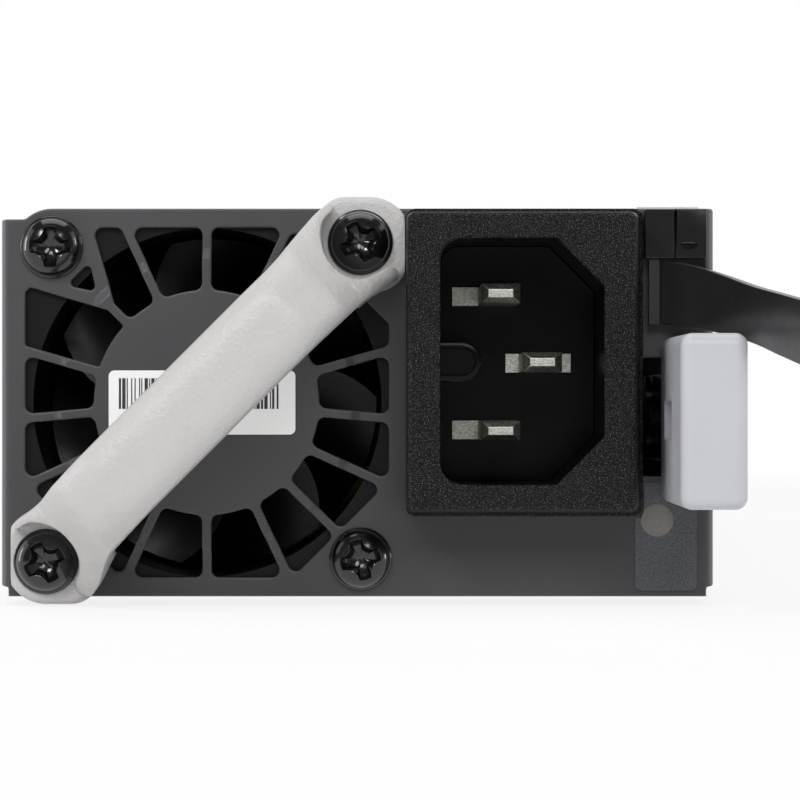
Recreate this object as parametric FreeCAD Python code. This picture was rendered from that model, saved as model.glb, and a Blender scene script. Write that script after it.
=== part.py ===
"""Hot swap server power supply: a slim sheet-metal case with a pull handle, fan grille,
appliance inlet and sprung latch at the front, and a card edge connector at the rear.

Millimetres. X is across the case, +Y runs from the front panel to the rear, +Z is up.
The origin is the middle of the case's underside.
"""
import FreeCAD, Part
import math
import os

Vec = FreeCAD.Vector
ALONG_X = Vec(1, 0, 0)
ALONG_Y = Vec(0, 1, 0)
ALONG_Z = Vec(0, 0, 1)
HERE = Vec(0, 0, 0)

# Case
case_width = 73.5
case_height = 40.0
case_length = 185.0
sheet = 0.8
flange_depth = 10.0
bend_inside = 0.3
panel_notch_width = 0.75
panel_notch_height = 1.0
shoulder_drop = 1.1
shoulder_radius = 4.0
cover_gap = 0.2

# Clearances, how far a cutter reaches past its face, and how near counts as touching
slip = 0.15
face_gap = 0.05
hole_fit = 0.05
over = 1.0
touch = 0.001

# Fan and grille
fan_side_gap = 2.25
fan_roof_gap = 1.0
fan_depth = 28.0
fan_screw_inset = 3.0
fan_wall = 1.0
fan_flange = 3.5
fan_corner_radius = 3.0
grille_side_margin = 0.25
grille_roof_margin = 0.95
spoke_width = 0.95
spoke_angles = (-65.0, -45.0, -24.5, -5.0, 16.0, 45.0, 65.0)
window_corner = 0.8
dish_rise = 0.8
web_reach = 2.3
web_start_inset = 5.1
web_half_angle = 28.6
web_window_corner = 0.45
web_window_start_inset = 2.8
web_window_end_inset = 0.2
web_window_half = 1.7
hub_cover = 0.8
impeller_hub_depth = 17.0
impeller_gap = 0.5
impeller_hub_edge = 1.2
impeller_hub_wall = 1.6
impeller_hub_face = 2.0
blade_count = 7
blade_thickness = 1.0
blade_root_pitch = 52.0
blade_tip_pitch = 34.0
blade_sink = 0.9
fan_shaft_radius = 1.5
fan_shaft_fit = 0.03
fan_mount_depth = 2.1
fan_mount_rim = 2.0
fan_strut_count = 4
fan_strut_turn = 20.0
fan_strut_width = 2.2
stator_gap = 2.4
stator_slot_count = 6
stator_slot_width = 1.6
bearing_short = 3.0
fan_lead_count = 4
fan_lead_radius = 0.65
fan_lead_bend = 2.0
fan_lead_pitch = 1.6

# Pan head screws
screw_head_radius = 3.25
screw_dome_radius = 2.6
screw_rim_height = 0.7
screw_head_height = 2.3
screw_shoulder_radius = 1.87
screw_shoulder_drop = 0.35
screw_shank_radius = 1.65
screw_grip = 9.0
recess_radius = 2.1
recess_depth = 1.5
recess_land_radius = 1.375
recess_land_reach = 2.8
handle_screw_turn = -27.0
panel_screw_turns = (0.0, -15.0)

# Pull handle
foot_radius = 5.1
foot_side_reach = 4.3
handle_shift = 0.2
handle_hole_gap = 0.4
foot_thickness = 2.0
pocket_radius = 4.0
bar_half_width = 4.3
bar_front = 21.0
bar_back = 15.5
bar_flat_inset = 10.13
leg_slope_out = 0.8
leg_shoulder_in = 6.3
leg_shoulder_down = 2.6
leg_wall = 1.0
arch_corner_up = 8.5
arch_corner_in = 6.6
bar_edge_radius = 2.4
arch_radius = 4.0

# Appliance inlet
inlet_fan_gap = 1.515
latch_bay_width = 7.385
inlet_proud = 10.0
inlet_left_draft = 0.12
inlet_right_draft = 0.85
inlet_height_draft = 0.45
inlet_right_inset = 1.2
inlet_face_inset = 0.8
inlet_flange = 1.5
inlet_flange_corner = 1.0
inlet_roof_gap = 0.08
inlet_body_side_inset = 0.715
inlet_body_end_inset = 1.0
inlet_body_depth = 14.0
inlet_corner = 0.8
inlet_rim_radius = 0.48
socket_end_inset = 2.65
socket_corner = 2.3
socket_depth = 17.0
key_width = 4.0
key_back = 1.2
pin_thickness = 2.0
pin_recess = 5.0
pin_pitch = 14.0
pin_tip_chamfer = 0.75
pin_tip_flat_chamfer = 0.6
pin_shoulder_height = 0.9
tab_thickness = 0.8
tab_length = 8.0
snap_length = 5.0
snap_rise = 0.9
snap_root = 0.5
snap_width = 8.0
inlet_wire_radius = 1.3
inlet_wire_bend = 2.0
inlet_wire_landing = 5.0
inlet_wire_rise = 4.5

# Cord retaining strap
anchor_side_gap = 0.9
anchor_width = 6.35
anchor_roof_gap = 0.15
anchor_height = 5.1
anchor_proud = 2.2
anchor_edge = 0.35
anchor_peg_radius = 1.4
anchor_peg_length = 4.0
anchor_barb_rise = 0.5
anchor_barb_length = 1.6
anchor_slot_width = 2.2
anchor_slot_height = 0.9
anchor_slot_offset = 1.4
strap_width = 6.6
strap_thickness = 0.9
strap_root_inset = 0.45
strap_root_length = 1.35
strap_exit_heading = 53.8
strap_first_radius = 21.1
strap_middle_heading = 9.55
strap_straight = 18.4
strap_second_radius = 64.7
strap_end_heading = 48.4
strap_slope = 0.0873
strap_fall_radius = 973.0
strap_dip = 1.43
strap_dip_length = 10.6
strap_tilt = 17.0
strap_tilt_length = 13.0
strap_station_count = 16

# Status light and labels
light_side_inset = 5.85
light_radius = 1.45
light_dome = 0.7
light_pipe_radius = 1.3
light_pipe_length = 6.0
lamp_length = 2.5
lamp_board_margin = 3.0
label_thickness = 0.15
status_label_left_inset = 8.15
status_label_right_inset = 1.75
status_label_low = 0.6
status_label_rise = 3.85
status_label_corner = 0.7
hub_label_margin = 2.0
hub_label_height = 6.6
hub_label_corner = 0.6
hub_label_shift = -0.45

# Latch
slot_side_gap = 2.25
slot_width = 5.05
slot_below = 0.8
slot_above = 1.4
latch_thickness = 0.7
latch_side_gap = 3.0
latch_pivot_depth = 52.0
latch_tail = 2.5
latch_jog_start = 5.0
latch_jog_end = 9.5
latch_wall_gap = 0.15
hook_start = 11.5
hook_length = 6.0
hook_land = 1.2
hook_proud = 1.3
hook_window_gap = 0.8
cap_width = 6.5
cap_overhang = 1.05
cap_light_gap = 0.4
cap_strap_gap = 1.3
cap_margin = 3.5
cap_start = 0.35
cap_front = 24.0
cap_edge = 1.2
cap_grip_depth = 16.0
cap_window_height = 3.9
cap_window_start = 4.0
cap_window_end = 13.0
cap_wall = 1.6
latch_rivet_head = 0.6

# Main board and its fasteners
board_thickness = 1.6
board_rise = 4.0
board_edge_gap = 0.55
board_fan_gap = 5.15
board_rear_gap = 1.0
tongue_side_step = 2.35
tongue_reach = 8.5
contact_count = 25
contact_edge = 0.5
contact_length = 7.0
contact_thickness = 0.1
standoff_radius = 2.6
standoff_floor = 0.8
standoff_inset_x = 3.4
standoff_inset_y = 5.0
board_screw_radius = 1.4
board_screw_head_radius = 2.6
board_screw_head = 1.6
board_screw_drive_radius = 1.0
board_screw_drive_depth = 0.7
insulator_thickness = 0.4
insulator_front = 1.0

# Rear wall
vent_margin = 2.95
vent_rows = 5
vent_columns = 14
card_slot_height = 4.6
card_slot_drop = 0.6

# Cover fasteners and grounding spring
cover_screw_radius = 1.3
cover_screw_head_radius = 2.4
cover_screw_head = 0.9
cover_screw_tip = 1.5
cover_screw_inset = 22.0
cross_width = 0.7
cross_depth = 0.3
cross_reach = 1.3
spring_left_inset = 7.85
spring_right_inset = 1.55
spring_rise = 0.35
spring_depth = 5.0
spring_spine = 1.2
spring_thickness = 0.2
spring_finger_count = 3
spring_finger_gap = 0.3

# Places worked out from the sizes above
front_y = -case_length / 2
rear_y = case_length / 2
half_width = case_width / 2
panel_back = front_y + sheet
tray_half = half_width - sheet
tray_inner = tray_half - sheet
floor_top = sheet
roof_low = case_height - sheet
cover_screw_height = case_height * 0.775
vent_pitch = (2 * tray_inner - 2 * vent_margin) / vent_columns
vent_radius = vent_pitch * 0.413

fan_size = case_height - 2 * fan_roof_gap
fan_x = -half_width + fan_side_gap + fan_size / 2
fan_z = case_height / 2
fan_front_y = panel_back + face_gap
fan_rear_y = fan_front_y + fan_depth
fan_bore_radius = fan_size / 2 - fan_wall
screw_offset = fan_size / 2 - fan_screw_inset
grille_hub_radius = fan_size * 0.3053
dish_radius = fan_size * 0.3948
dish_foot_radius = dish_radius + 0.7
web_corner_reach = fan_size / 2 + web_reach
web_start = fan_size / 2 - web_start_inset
web_window_start = fan_size / 2 - web_window_start_inset
web_window_end = fan_size / 2 - web_window_end_inset
impeller_hub_radius = grille_hub_radius - hub_cover
impeller_rear_y = fan_rear_y - fan_flange - impeller_gap
impeller_front_y = impeller_rear_y - impeller_hub_depth
stator_radius = impeller_hub_radius - stator_gap
handle_reach = screw_offset * math.sqrt(2)
pocket_inner = handle_reach - pocket_radius - leg_wall
bar_flat_half = handle_reach - bar_flat_inset

inlet_flange_left = fan_x + fan_size / 2 + inlet_fan_gap
inlet_flange_right = half_width - latch_bay_width
inlet_flange_high = case_height - inlet_roof_gap
inlet_flange_height = case_height * 0.79
inlet_flange_low = inlet_flange_high - inlet_flange_height
inlet_left = inlet_flange_left + inlet_left_draft
inlet_right = inlet_flange_right - inlet_right_inset
inlet_x = (inlet_left + inlet_right) / 2
inlet_z = (inlet_flange_high + inlet_flange_low) / 2
inlet_low = inlet_flange_low + inlet_face_inset
inlet_high = inlet_flange_high - inlet_face_inset
inlet_body_half_width = (inlet_right - inlet_left) / 2 - inlet_body_side_inset
inlet_body_half_height = (inlet_high - inlet_low) / 2 - inlet_body_end_inset
inlet_front_y = front_y - inlet_proud
socket_floor_y = inlet_front_y + socket_depth
socket_width = (inlet_right - inlet_left) * 0.712
socket_height = inlet_high - inlet_low - 2 * socket_end_inset
socket_chamfer = socket_width * 0.293
key_length = socket_width * 0.256
pin_width = socket_width * 0.244
live_pin_x = inlet_x - socket_width * 0.122
earth_pin_x = inlet_x + socket_width * 0.137
live_pin_shoulder = socket_width * 0.171
earth_pin_shoulder = socket_width * 0.088
tab_width = pin_width * 1.2
inlet_wire_spread = socket_width * 0.366

anchor_right = half_width - anchor_side_gap
anchor_left = anchor_right - anchor_width
anchor_high = case_height - anchor_roof_gap
anchor_low = anchor_high - anchor_height
anchor_x = (anchor_left + anchor_right) / 2
anchor_z = (anchor_low + anchor_high) / 2
strap_root_x = anchor_left + strap_root_inset
strap_high = anchor_low - slip
light_x = half_width - light_side_inset
light_z = case_height * 0.19625
status_label_left = half_width - status_label_left_inset
status_label_right = half_width - status_label_right_inset
status_label_high = light_z + status_label_rise

cap_right = half_width + cap_overhang
cap_left = cap_right - cap_width
cap_low = light_z + light_radius + cap_light_gap
cap_high = strap_high - strap_width - cap_strap_gap
latch_low = cap_low + cap_margin
latch_high = cap_high - cap_margin
latch_z = (latch_low + latch_high) / 2
latch_front_x = half_width - latch_side_gap
slot_right = half_width - slot_side_gap
slot_left = slot_right - slot_width
hook_height = (latch_high - latch_low) * 0.65
latch_rivet_pitch = (latch_high - latch_low) * 0.56
latch_rivet_head_radius = latch_rivet_pitch * 0.375
latch_rivet_radius = latch_rivet_pitch * 0.232
spring_left = half_width - spring_left_inset
spring_right = half_width - spring_right_inset

board_low = floor_top + board_rise
board_top = board_low + board_thickness
board_front_y = fan_rear_y + board_fan_gap
board_rear_y = rear_y - sheet - board_rear_gap
board_half = tray_inner - board_edge_gap
tongue_half = board_half - tongue_side_step
contact_pitch = (2 * tongue_half - 2 * contact_edge) / contact_count
contact_width = contact_pitch * 0.71

# The room on the board, which its parts share out between them
room_width = 2 * board_half
room_length = board_rear_y - board_front_y
room_height = roof_low - board_top

choke_x = room_width * -0.238
choke_y = board_front_y + room_length * 0.141
choke_outer = min(room_width * 0.159, room_length * 0.0737)
choke_inner = choke_outer * 0.455
choke_wire = choke_outer * 0.145
choke_height = room_height * 0.305
choke_winding_angle = 130.0
boost_x = room_width * -0.253
boost_y = board_front_y + room_length * 0.335
boost_outer = min(room_width * 0.195, room_length * 0.0905)
boost_inner = boost_outer * 0.444
boost_height = room_height * 0.457
boost_winding_start = 110.0
boost_winding_angle = 320.0
winding_gap = 0.1

film_width = room_width * 0.26
film_depth = room_length * 0.057
film_height = room_height * 0.457
film_x = room_width * 0.0867
film_y = board_front_y + room_length * 0.1273
film_pitch = room_length * 0.0737
film_corner = 0.8
disc_radius = min(room_length * 0.0268, room_height * 0.122)
disc_thickness = room_width * 0.0462
disc_edge = disc_thickness * 0.3
disc_rise = room_height * 0.0305
disc_x = room_width * 0.3974
disc_y = board_front_y + room_length * 0.1206
disc_pitch = room_length * 0.057
disc_stem_width = disc_thickness * 0.45
disc_stem_depth = disc_radius * 0.6
disc_stem_height = disc_rise * 3

fuse_length = room_width * 0.289
fuse_radius = min(room_length * 0.0174, room_height * 0.0793)
fuse_body_radius = fuse_radius * 0.86
fuse_rise = fuse_radius * 0.46
fuse_end = fuse_length * 0.25
fuse_clip = fuse_length * 0.15
fuse_x = room_width * -0.231
fuse_y = board_front_y + room_length * 0.0268

relay_x = room_width * 0.3685
relay_y = board_front_y + room_length * 0.2614
relay_width = room_width * 0.188
relay_depth = room_length * 0.107
relay_height = room_height * 0.4726
relay_corner = 0.5

bridge_x = room_width * 0.1734
bridge_y = board_front_y + room_length * 0.3485
bridge_width = room_width * 0.361
bridge_depth = room_length * 0.0308
bridge_height = room_height * 0.61
bridge_rise = room_height * 0.0915
bridge_hole_radius = 1.7
bridge_leg_pitch = bridge_width * 0.24
bridge_leg_width = bridge_leg_pitch * 0.22
bridge_leg_depth = bridge_depth * 0.2
bridge_leg_count = 4

sink_y = board_front_y + room_length * 0.486
sink_half = board_half - standoff_inset_x - board_screw_head_radius - 4 * slip
sink_base = room_length * 0.0201
sink_height = room_height * 0.823
sink_fin = sink_half * 0.043
sink_fin_low = room_height * 0.366
sink_fin_depth = room_length * 0.0369
sink_fin_count = 9

transistor_width = room_width * 0.1474
transistor_depth = room_length * 0.0295
transistor_height = room_height * 0.488
transistor_rise = room_height * 0.122
transistor_tab = transistor_depth * 0.295
transistor_pitch = room_width * 0.2095
transistor_count = 4
transistor_leg_pitch = transistor_width * 0.249
transistor_leg_width = transistor_leg_pitch * 0.315
transistor_leg_depth = transistor_depth * 0.136
transistor_leg_count = 3
transistor_hole_drop = transistor_height * 0.1875
transistor_hole_radius = transistor_width * 0.167
transistor_screw_radius = transistor_hole_radius - 5 * hole_fit
transistor_screw_head_radius = transistor_hole_radius * 1.53
transistor_screw_head = transistor_depth * 0.318

bulk_radius = min(room_width * 0.2095, room_height * 0.442)
bulk_length = room_length * 0.2547
bulk_x = room_width * -0.2673
bulk_y = sink_y + sink_base + transistor_depth + 7 * face_gap
bulk_edge = 1.0
bulk_neck = bulk_radius * 0.083
bulk_neck_width = bulk_length * 0.042
bulk_neck_inset = bulk_length * 0.13
bulk_foot_width = bulk_radius * 0.55
bulk_foot_depth = bulk_length * 0.079
bulk_foot_height = bulk_radius * 0.17

transformer_x = room_width * 0.1879
transformer_y = board_front_y + room_length * 0.657
transformer_width = room_width * 0.4335
transformer_depth = room_length * 0.2011
transformer_height = room_height * 0.7317
transformer_core_depth = transformer_depth * 0.55
transformer_rise = room_height * 0.0457
transformer_yoke = transformer_height * 0.1875
transformer_side_leg = transformer_width * 0.163
transformer_centre_leg = transformer_width * 0.327
transformer_window = (transformer_width - 2 * transformer_side_leg - transformer_centre_leg) / 2
winding_margin = 0.6
winding_corner = 3.0
winding_foot_depth = transformer_depth * 0.1

resonant_x = room_width * 0.1445
resonant_y = board_front_y + room_length * 0.8177
resonant_width = room_width * 0.289
resonant_depth = room_length * 0.1072
resonant_height = room_height * 0.4878
standby_x = room_width * -0.289
standby_y = board_front_y + room_length * 0.8391
standby_width = room_width * 0.2746
standby_depth = room_length * 0.0804
standby_height = room_height * 0.5488

out_cap_radius = min(room_width * 0.0578, room_length * 0.0268)
out_cap_height = room_height * 0.4268
out_cap_edge = 0.7
out_cap_rows = 2
out_cap_columns = 6
out_cap_pitch_x = room_width * 0.133
out_cap_pitch_y = room_length * 0.0586
out_cap_y = board_rear_y - room_length * 0.0885
busbar_length = room_length * 0.1139
busbar_thickness = room_width * 0.0217
busbar_height = room_height * 0.2744
busbar_places = (room_width * 0.3251, room_width * 0.3757)
busbar_y = board_front_y + room_length * 0.764

control_x = room_width * 0.448
control_y = board_front_y + room_length * 0.5295
control_length = room_length * 0.3753
control_height = room_height * 0.7317
control_thickness = room_width * 0.0231
chip_thickness = room_width * 0.0217
plug_x = room_width * -0.4509
plug_y = board_front_y + room_length * 0.1072
plug_width = room_width * 0.0665
plug_depth = room_length * 0.067
plug_height = room_height * 0.183
plug_wall = plug_width * 0.22
plug_slot_depth = plug_height * 0.25
fan_lead_low = board_top + room_height * 0.366


def block(x_low, x_high, y_low, y_high, z_low, z_high):
    """A box between two corners."""
    size = (x_high - x_low, y_high - y_low, z_high - z_low)
    return Part.makeBox(*size, Vec(x_low, y_low, z_low))


def standing(centre_x, centre_y, base_z, size_x, size_y, size_z):
    """A box that stands on the height base_z, centred on a point."""
    return block(centre_x - size_x / 2, centre_x + size_x / 2, centre_y - size_y / 2,
                 centre_y + size_y / 2, base_z, base_z + size_z)


def rod(radius, x, y, z, length, direction=ALONG_Y):
    """A round bar that starts at a point and runs along a direction."""
    return Part.makeCylinder(radius, length, Vec(x, y, z), direction)


def rounded(shape, radius, direction):
    """The shape with its straight edges along a direction rounded."""
    edges = [edge for edge in shape.Edges if is_along(edge, direction)]
    return shape.makeFillet(radius, edges)


def is_along(edge, direction):
    """True for a straight edge that runs along a direction."""
    if not isinstance(edge.Curve, (Part.Line, Part.LineSegment)):
        return False
    start = edge.Vertexes[0].Point
    end = edge.Vertexes[-1].Point
    along = end.sub(start)
    return along.Length > 0 and along.cross(direction).Length < 1e-6 * along.Length


def is_at_y(piece, y):
    """True for an edge or face whose middle lies in the plane Y = y."""
    return abs(piece.CenterOfMass.y - y) < touch


def prism_y(points, y_low, depth):
    """A flat outline in X and Z, given as points, pushed along Y."""
    corners = [Vec(x, y_low, z) for x, z in points]
    face = Part.Face(Part.makePolygon(corners + corners[:1]))
    return face.extrude(Vec(0, depth, 0))


def prism_z(points, z_low, height):
    """A flat outline in X and Y, given as points, pushed along Z."""
    corners = [Vec(x, y, z_low) for x, y in points]
    face = Part.Face(Part.makePolygon(corners + corners[:1]))
    return face.extrude(Vec(0, 0, height))


def fused(shapes):
    """All the shapes joined to one, with seams between flush faces removed."""
    return shapes[0].multiFuse(shapes[1:]).removeSplitter()


def grouped(shapes):
    """Separate solids kept as a group in one sub-part."""
    return Part.makeCompound([solid for shape in shapes for solid in shape.Solids])


def one_solid(shape):
    """The single solid that the shape is made of."""
    assert len(shape.Solids) == 1, len(shape.Solids)
    return shape.Solids[0]


def fan_screw_points(signs):
    """Screw places on the fan's square, each given by its two signs."""
    return [(fan_x + a * screw_offset, fan_z + b * screw_offset) for a, b in signs]


HANDLE_SIGNS = ((-1, -1), (1, 1))
PANEL_SIGNS = ((-1, 1), (1, -1))


# ---------------------------------------------------------------- front panel

def spoke_field_angles():
    """Angles of all the grille's spokes, the two halves being mirror images."""
    mirrored = [180.0 - angle for angle in spoke_angles]
    return list(spoke_angles) + mirrored + [90.0, -90.0]


def spoke(angle, width, reach, y_low, depth):
    """One straight grille spoke from the fan's axis outwards."""
    bar = block(0, reach, y_low, y_low + depth, -width / 2, width / 2)
    bar.rotate(HERE, ALONG_Y, -angle)
    bar.translate(Vec(fan_x, 0, fan_z))
    return bar


def diagonal_wedge(start, end, half_start, half_end, y_low, depth):
    """A wedge on the diagonal towards the top left screw, as left solid or cut out."""
    corners = ((start, -half_start), (end, -half_end), (end, half_end), (start, half_start))
    turn = math.sqrt(0.5)
    points = []
    for along, aside in dict.fromkeys(corners):
        x = fan_x + turn * (-along + aside)
        z = fan_z + turn * (along + aside)
        points.append((x, z))
    return prism_y(points, y_low, depth)


def grille_windows():
    """The openings between hub, spokes and frame, with rounded corners."""
    y_low = front_y - 2 * dish_rise
    depth = 4 * dish_rise
    half_w = fan_size / 2 - grille_side_margin
    half_h = fan_size / 2 - grille_roof_margin
    cut_w = fan_size / 2 * math.sqrt(2) - half_h
    cut_h = fan_size / 2 * math.sqrt(2) - half_w
    web_cut_w = web_corner_reach * math.sqrt(2) - half_h
    web_cut_h = web_corner_reach * math.sqrt(2) - half_w
    outline = [(half_w, -cut_h), (half_w, cut_h), (cut_w, half_h), (-web_cut_w, half_h),
               (-half_w, web_cut_h), (-half_w, -cut_h), (-cut_w, -half_h), (cut_w, -half_h)]
    field = prism_y([(fan_x + x, fan_z + z) for x, z in outline], y_low, depth)
    solid_parts = [rod(grille_hub_radius, fan_x, y_low, fan_z, depth)]
    for angle in spoke_field_angles():
        solid_parts.append(spoke(angle, spoke_width, fan_size, y_low, depth))
    reach = web_corner_reach * 1.1
    web_half = (reach - web_start) * math.tan(math.radians(web_half_angle)) + spoke_width / 2
    solid_parts.append(diagonal_wedge(web_start, reach, spoke_width / 2, web_half, y_low, depth))
    windows = field.cut(solid_parts).Solids
    hole = diagonal_wedge(web_window_start, web_window_end, 0, web_window_half, y_low, depth)
    return [softened(window, window_corner) for window in windows] + [softened(hole, web_window_corner)]


def softened(window, corner):
    """A window with rounded corners, no larger than its shortest side allows."""
    rims = [edge.Length for edge in window.Edges if not is_along(edge, ALONG_Y)]
    return rounded(window, min(corner, 0.4 * min(rims)), ALONG_Y)


def grille_dish():
    """The round middle of the grille, pressed forward, at the sheet's thickness."""
    points = [(0, -dish_rise), (dish_radius, -dish_rise), (dish_foot_radius, 0), (dish_foot_radius, sheet),
              (dish_radius, sheet - dish_rise), (0, sheet - dish_rise)]
    corners = [Vec(fan_x + radius, front_y + y, fan_z) for radius, y in points]
    face = Part.Face(Part.makePolygon(corners + corners[:1]))
    return face.revolve(Vec(fan_x, 0, fan_z), ALONG_Y, 360)


def front_panel():
    """Painted face with two side flanges, fan grille and openings for what passes it."""
    outer = block(-half_width, half_width, front_y, front_y + flange_depth, 0, case_height)
    front_corners = [edge for edge in outer.Edges if is_along(edge, ALONG_Z)
                     and edge.CenterOfMass.y < front_y + sheet]
    outer = outer.makeFillet(bend_inside + sheet, front_corners)
    inner = block(-tray_half, tray_half, panel_back, front_y + 2 * flange_depth,
                  -sheet, case_height + sheet)
    back_corners = [edge for edge in inner.Edges if is_along(edge, ALONG_Z)
                    and edge.CenterOfMass.y < front_y + flange_depth]
    panel = outer.cut(inner.makeFillet(bend_inside, back_corners))
    cuts = [block(side * half_width - panel_notch_width, side * half_width + panel_notch_width,
                  front_y - over, front_y + flange_depth + over, -over, panel_notch_height)
            for side in (-1, 1)]
    shoulder_x, shoulder_z = fan_screw_points(((-1, 1),))[0]
    cuts.append(block(-half_width - over, shoulder_x, front_y - over, front_y + flange_depth + over,
                      case_height - shoulder_drop, case_height + over))
    panel = panel.cut(cuts)
    shoulder = rod(shoulder_radius, shoulder_x, front_y, shoulder_z, sheet)
    dish_room = rod(dish_foot_radius, fan_x, front_y - over, fan_z, sheet + 2 * over)
    panel = panel.fuse(shoulder).cut(dish_room)
    panel = fused([panel, grille_dish()])
    return one_solid(panel.cut(grille_windows() + panel_openings()))


def panel_openings():
    """Cut-outs for screws, inlet, latch, strap anchor and status light."""
    y_low = front_y - over
    depth = sheet + 2 * over
    hole_radius = screw_shank_radius + slip
    cuts = [rod(hole_radius, x, y_low, z, depth)
            for x, z in fan_screw_points(HANDLE_SIGNS + PANEL_SIGNS)]
    half_w = inlet_body_half_width + slip
    half_h = inlet_body_half_height + slip
    cuts.append(block(inlet_x - half_w, inlet_x + half_w, y_low, y_low + depth,
                      inlet_z - half_h, inlet_z + half_h))
    cuts.append(block(slot_left, slot_right, y_low, y_low + depth, latch_low - slot_below,
                      latch_high + slot_above))
    cuts.append(rod(light_radius + slip, light_x, y_low, light_z, depth))
    cuts.append(rod(anchor_peg_radius + slip, anchor_x, y_low, anchor_z, depth))
    return cuts


# ---------------------------------------------------------------- screws

def pan_head_screw(x, seat_y, z, grip, turn):
    """A pan head screw with a cross recess, its head towards -Y."""
    dome = [(0, 0), (screw_head_radius, 0), (screw_head_radius, screw_rim_height),
            (screw_dome_radius, screw_rim_height)]
    corners = [Vec(radius, -height, 0) for radius, height in dome]
    lines = [Part.makeLine(a, b) for a, b in zip(corners, corners[1:])]
    crown = Vec(0, -screw_head_height, 0)
    waist = Vec(screw_shoulder_radius, screw_shoulder_drop - screw_head_height, 0)
    lines.append(Part.Arc(corners[-1], waist, crown).toShape())
    lines.append(Part.makeLine(crown, corners[0]))
    head = Part.Face(Part.Wire(lines)).revolve(HERE, ALONG_Y, 360)
    recess = rod(recess_radius, 0, -screw_head_height - over, 0, recess_depth + over)
    lands = []
    for quarter in range(4):
        angle = math.radians(45 + 90 * quarter)
        lands.append(rod(recess_land_radius, recess_land_reach * math.cos(angle),
                         -screw_head_height - over, recess_land_reach * math.sin(angle),
                         recess_depth + over))
    shank = rod(screw_shank_radius, 0, -screw_rim_height, 0, grip + screw_rim_height)
    screw = head.fuse(shank).removeSplitter().cut(recess.cut(lands))
    screw.rotate(HERE, ALONG_Y, turn)
    screw.translate(Vec(x, seat_y, z))
    return one_solid(screw)


def handle_screws():
    """The two screws that hold the pull handle's feet, panel and fan together."""
    seat = front_y - foot_thickness
    grip = foot_thickness + sheet + screw_grip
    return grouped([pan_head_screw(x, seat, z, grip, handle_screw_turn)
                    for x, z in fan_screw_points(HANDLE_SIGNS)])


def fan_screws():
    """The two screws through panel and fan only."""
    points = fan_screw_points(PANEL_SIGNS)
    return grouped([pan_head_screw(x, front_y, z, sheet + screw_grip, turn)
                    for (x, z), turn in zip(points, panel_screw_turns)])


# ---------------------------------------------------------------- pull handle

def handle_side_outline(lift):
    """Side view of the handle: along the diagonal against the height off the panel."""
    slope_foot = handle_reach + leg_slope_out
    shoulder = handle_reach - leg_shoulder_in
    half = [(bar_flat_half, bar_front), (shoulder, bar_front - leg_shoulder_down),
            (slope_foot, foot_thickness), (slope_foot, 0)]
    under = []
    if lift:
        under = [(pocket_inner, 0), (pocket_inner, arch_corner_up),
                 (pocket_inner - arch_corner_in, bar_back)]
    right = half + under
    left = [(-along, up) for along, up in reversed(right)]
    return right + left


def upright(points, half_width_y):
    """A side view outline pushed to both sides of the handle's middle plane."""
    corners = [Vec(along, -half_width_y, up) for along, up in points]
    face = Part.Face(Part.makePolygon(corners + corners[:1]))
    return face.extrude(Vec(0, 2 * half_width_y, 0))


def edges_at(shape, along, up):
    """Edges across the handle that pass a point of its side view."""
    found = []
    for edge in shape.Edges:
        centre = edge.CenterOfMass
        at_place = abs(abs(centre.x) - along) < touch and abs(centre.z - up) < touch
        if at_place and is_along(edge, ALONG_Y):
            found.append(edge)
    return found


def handle_bar():
    """The arched bar before its pockets are cut, with rounded edges."""
    arch = upright(handle_side_outline(True), bar_half_width)
    bends = edges_at(arch, bar_flat_half, bar_front)
    bends += edges_at(arch, handle_reach - leg_shoulder_in, bar_front - leg_shoulder_down)
    bends += edges_at(arch, pocket_inner, arch_corner_up)
    bends += edges_at(arch, pocket_inner - arch_corner_in, bar_back)
    arch = arch.makeFillet(arch_radius, bends)
    front_edges = [edge for edge in arch.Edges if is_bar_front_edge(edge)]
    return arch.makeFillet(bar_edge_radius, front_edges)


def is_bar_front_edge(edge):
    """True for the long edges between the bar's front and its two sides."""
    on_side = all(abs(abs(vertex.Point.y) - bar_half_width) < touch for vertex in edge.Vertexes)
    centre = edge.CenterOfMass
    on_front = centre.z > bar_back + slip
    on_leg = abs(centre.x) > pocket_inner + slip and centre.z > foot_thickness + slip
    return on_side and edge.BoundBox.YLength < touch and (on_front or on_leg)


def handle_foot(side):
    """Round wall around one screw pocket and the foot below it, in side view axes."""
    centre = Vec(side * handle_reach, 0, 0)
    filled = upright(handle_side_outline(False), foot_radius + over)
    wall = Part.makeCylinder(foot_radius, bar_front, centre).common(filled)
    outside = Vec(side * (handle_reach + bar_front - foot_radius), 0, 0)
    leg_room = block(-bar_front, bar_front, -bar_front, bar_front, 0, bar_front)
    leg_room.translate(outside)
    return [wall.common(leg_room), Part.makeCylinder(foot_radius, foot_thickness, centre)]


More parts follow.
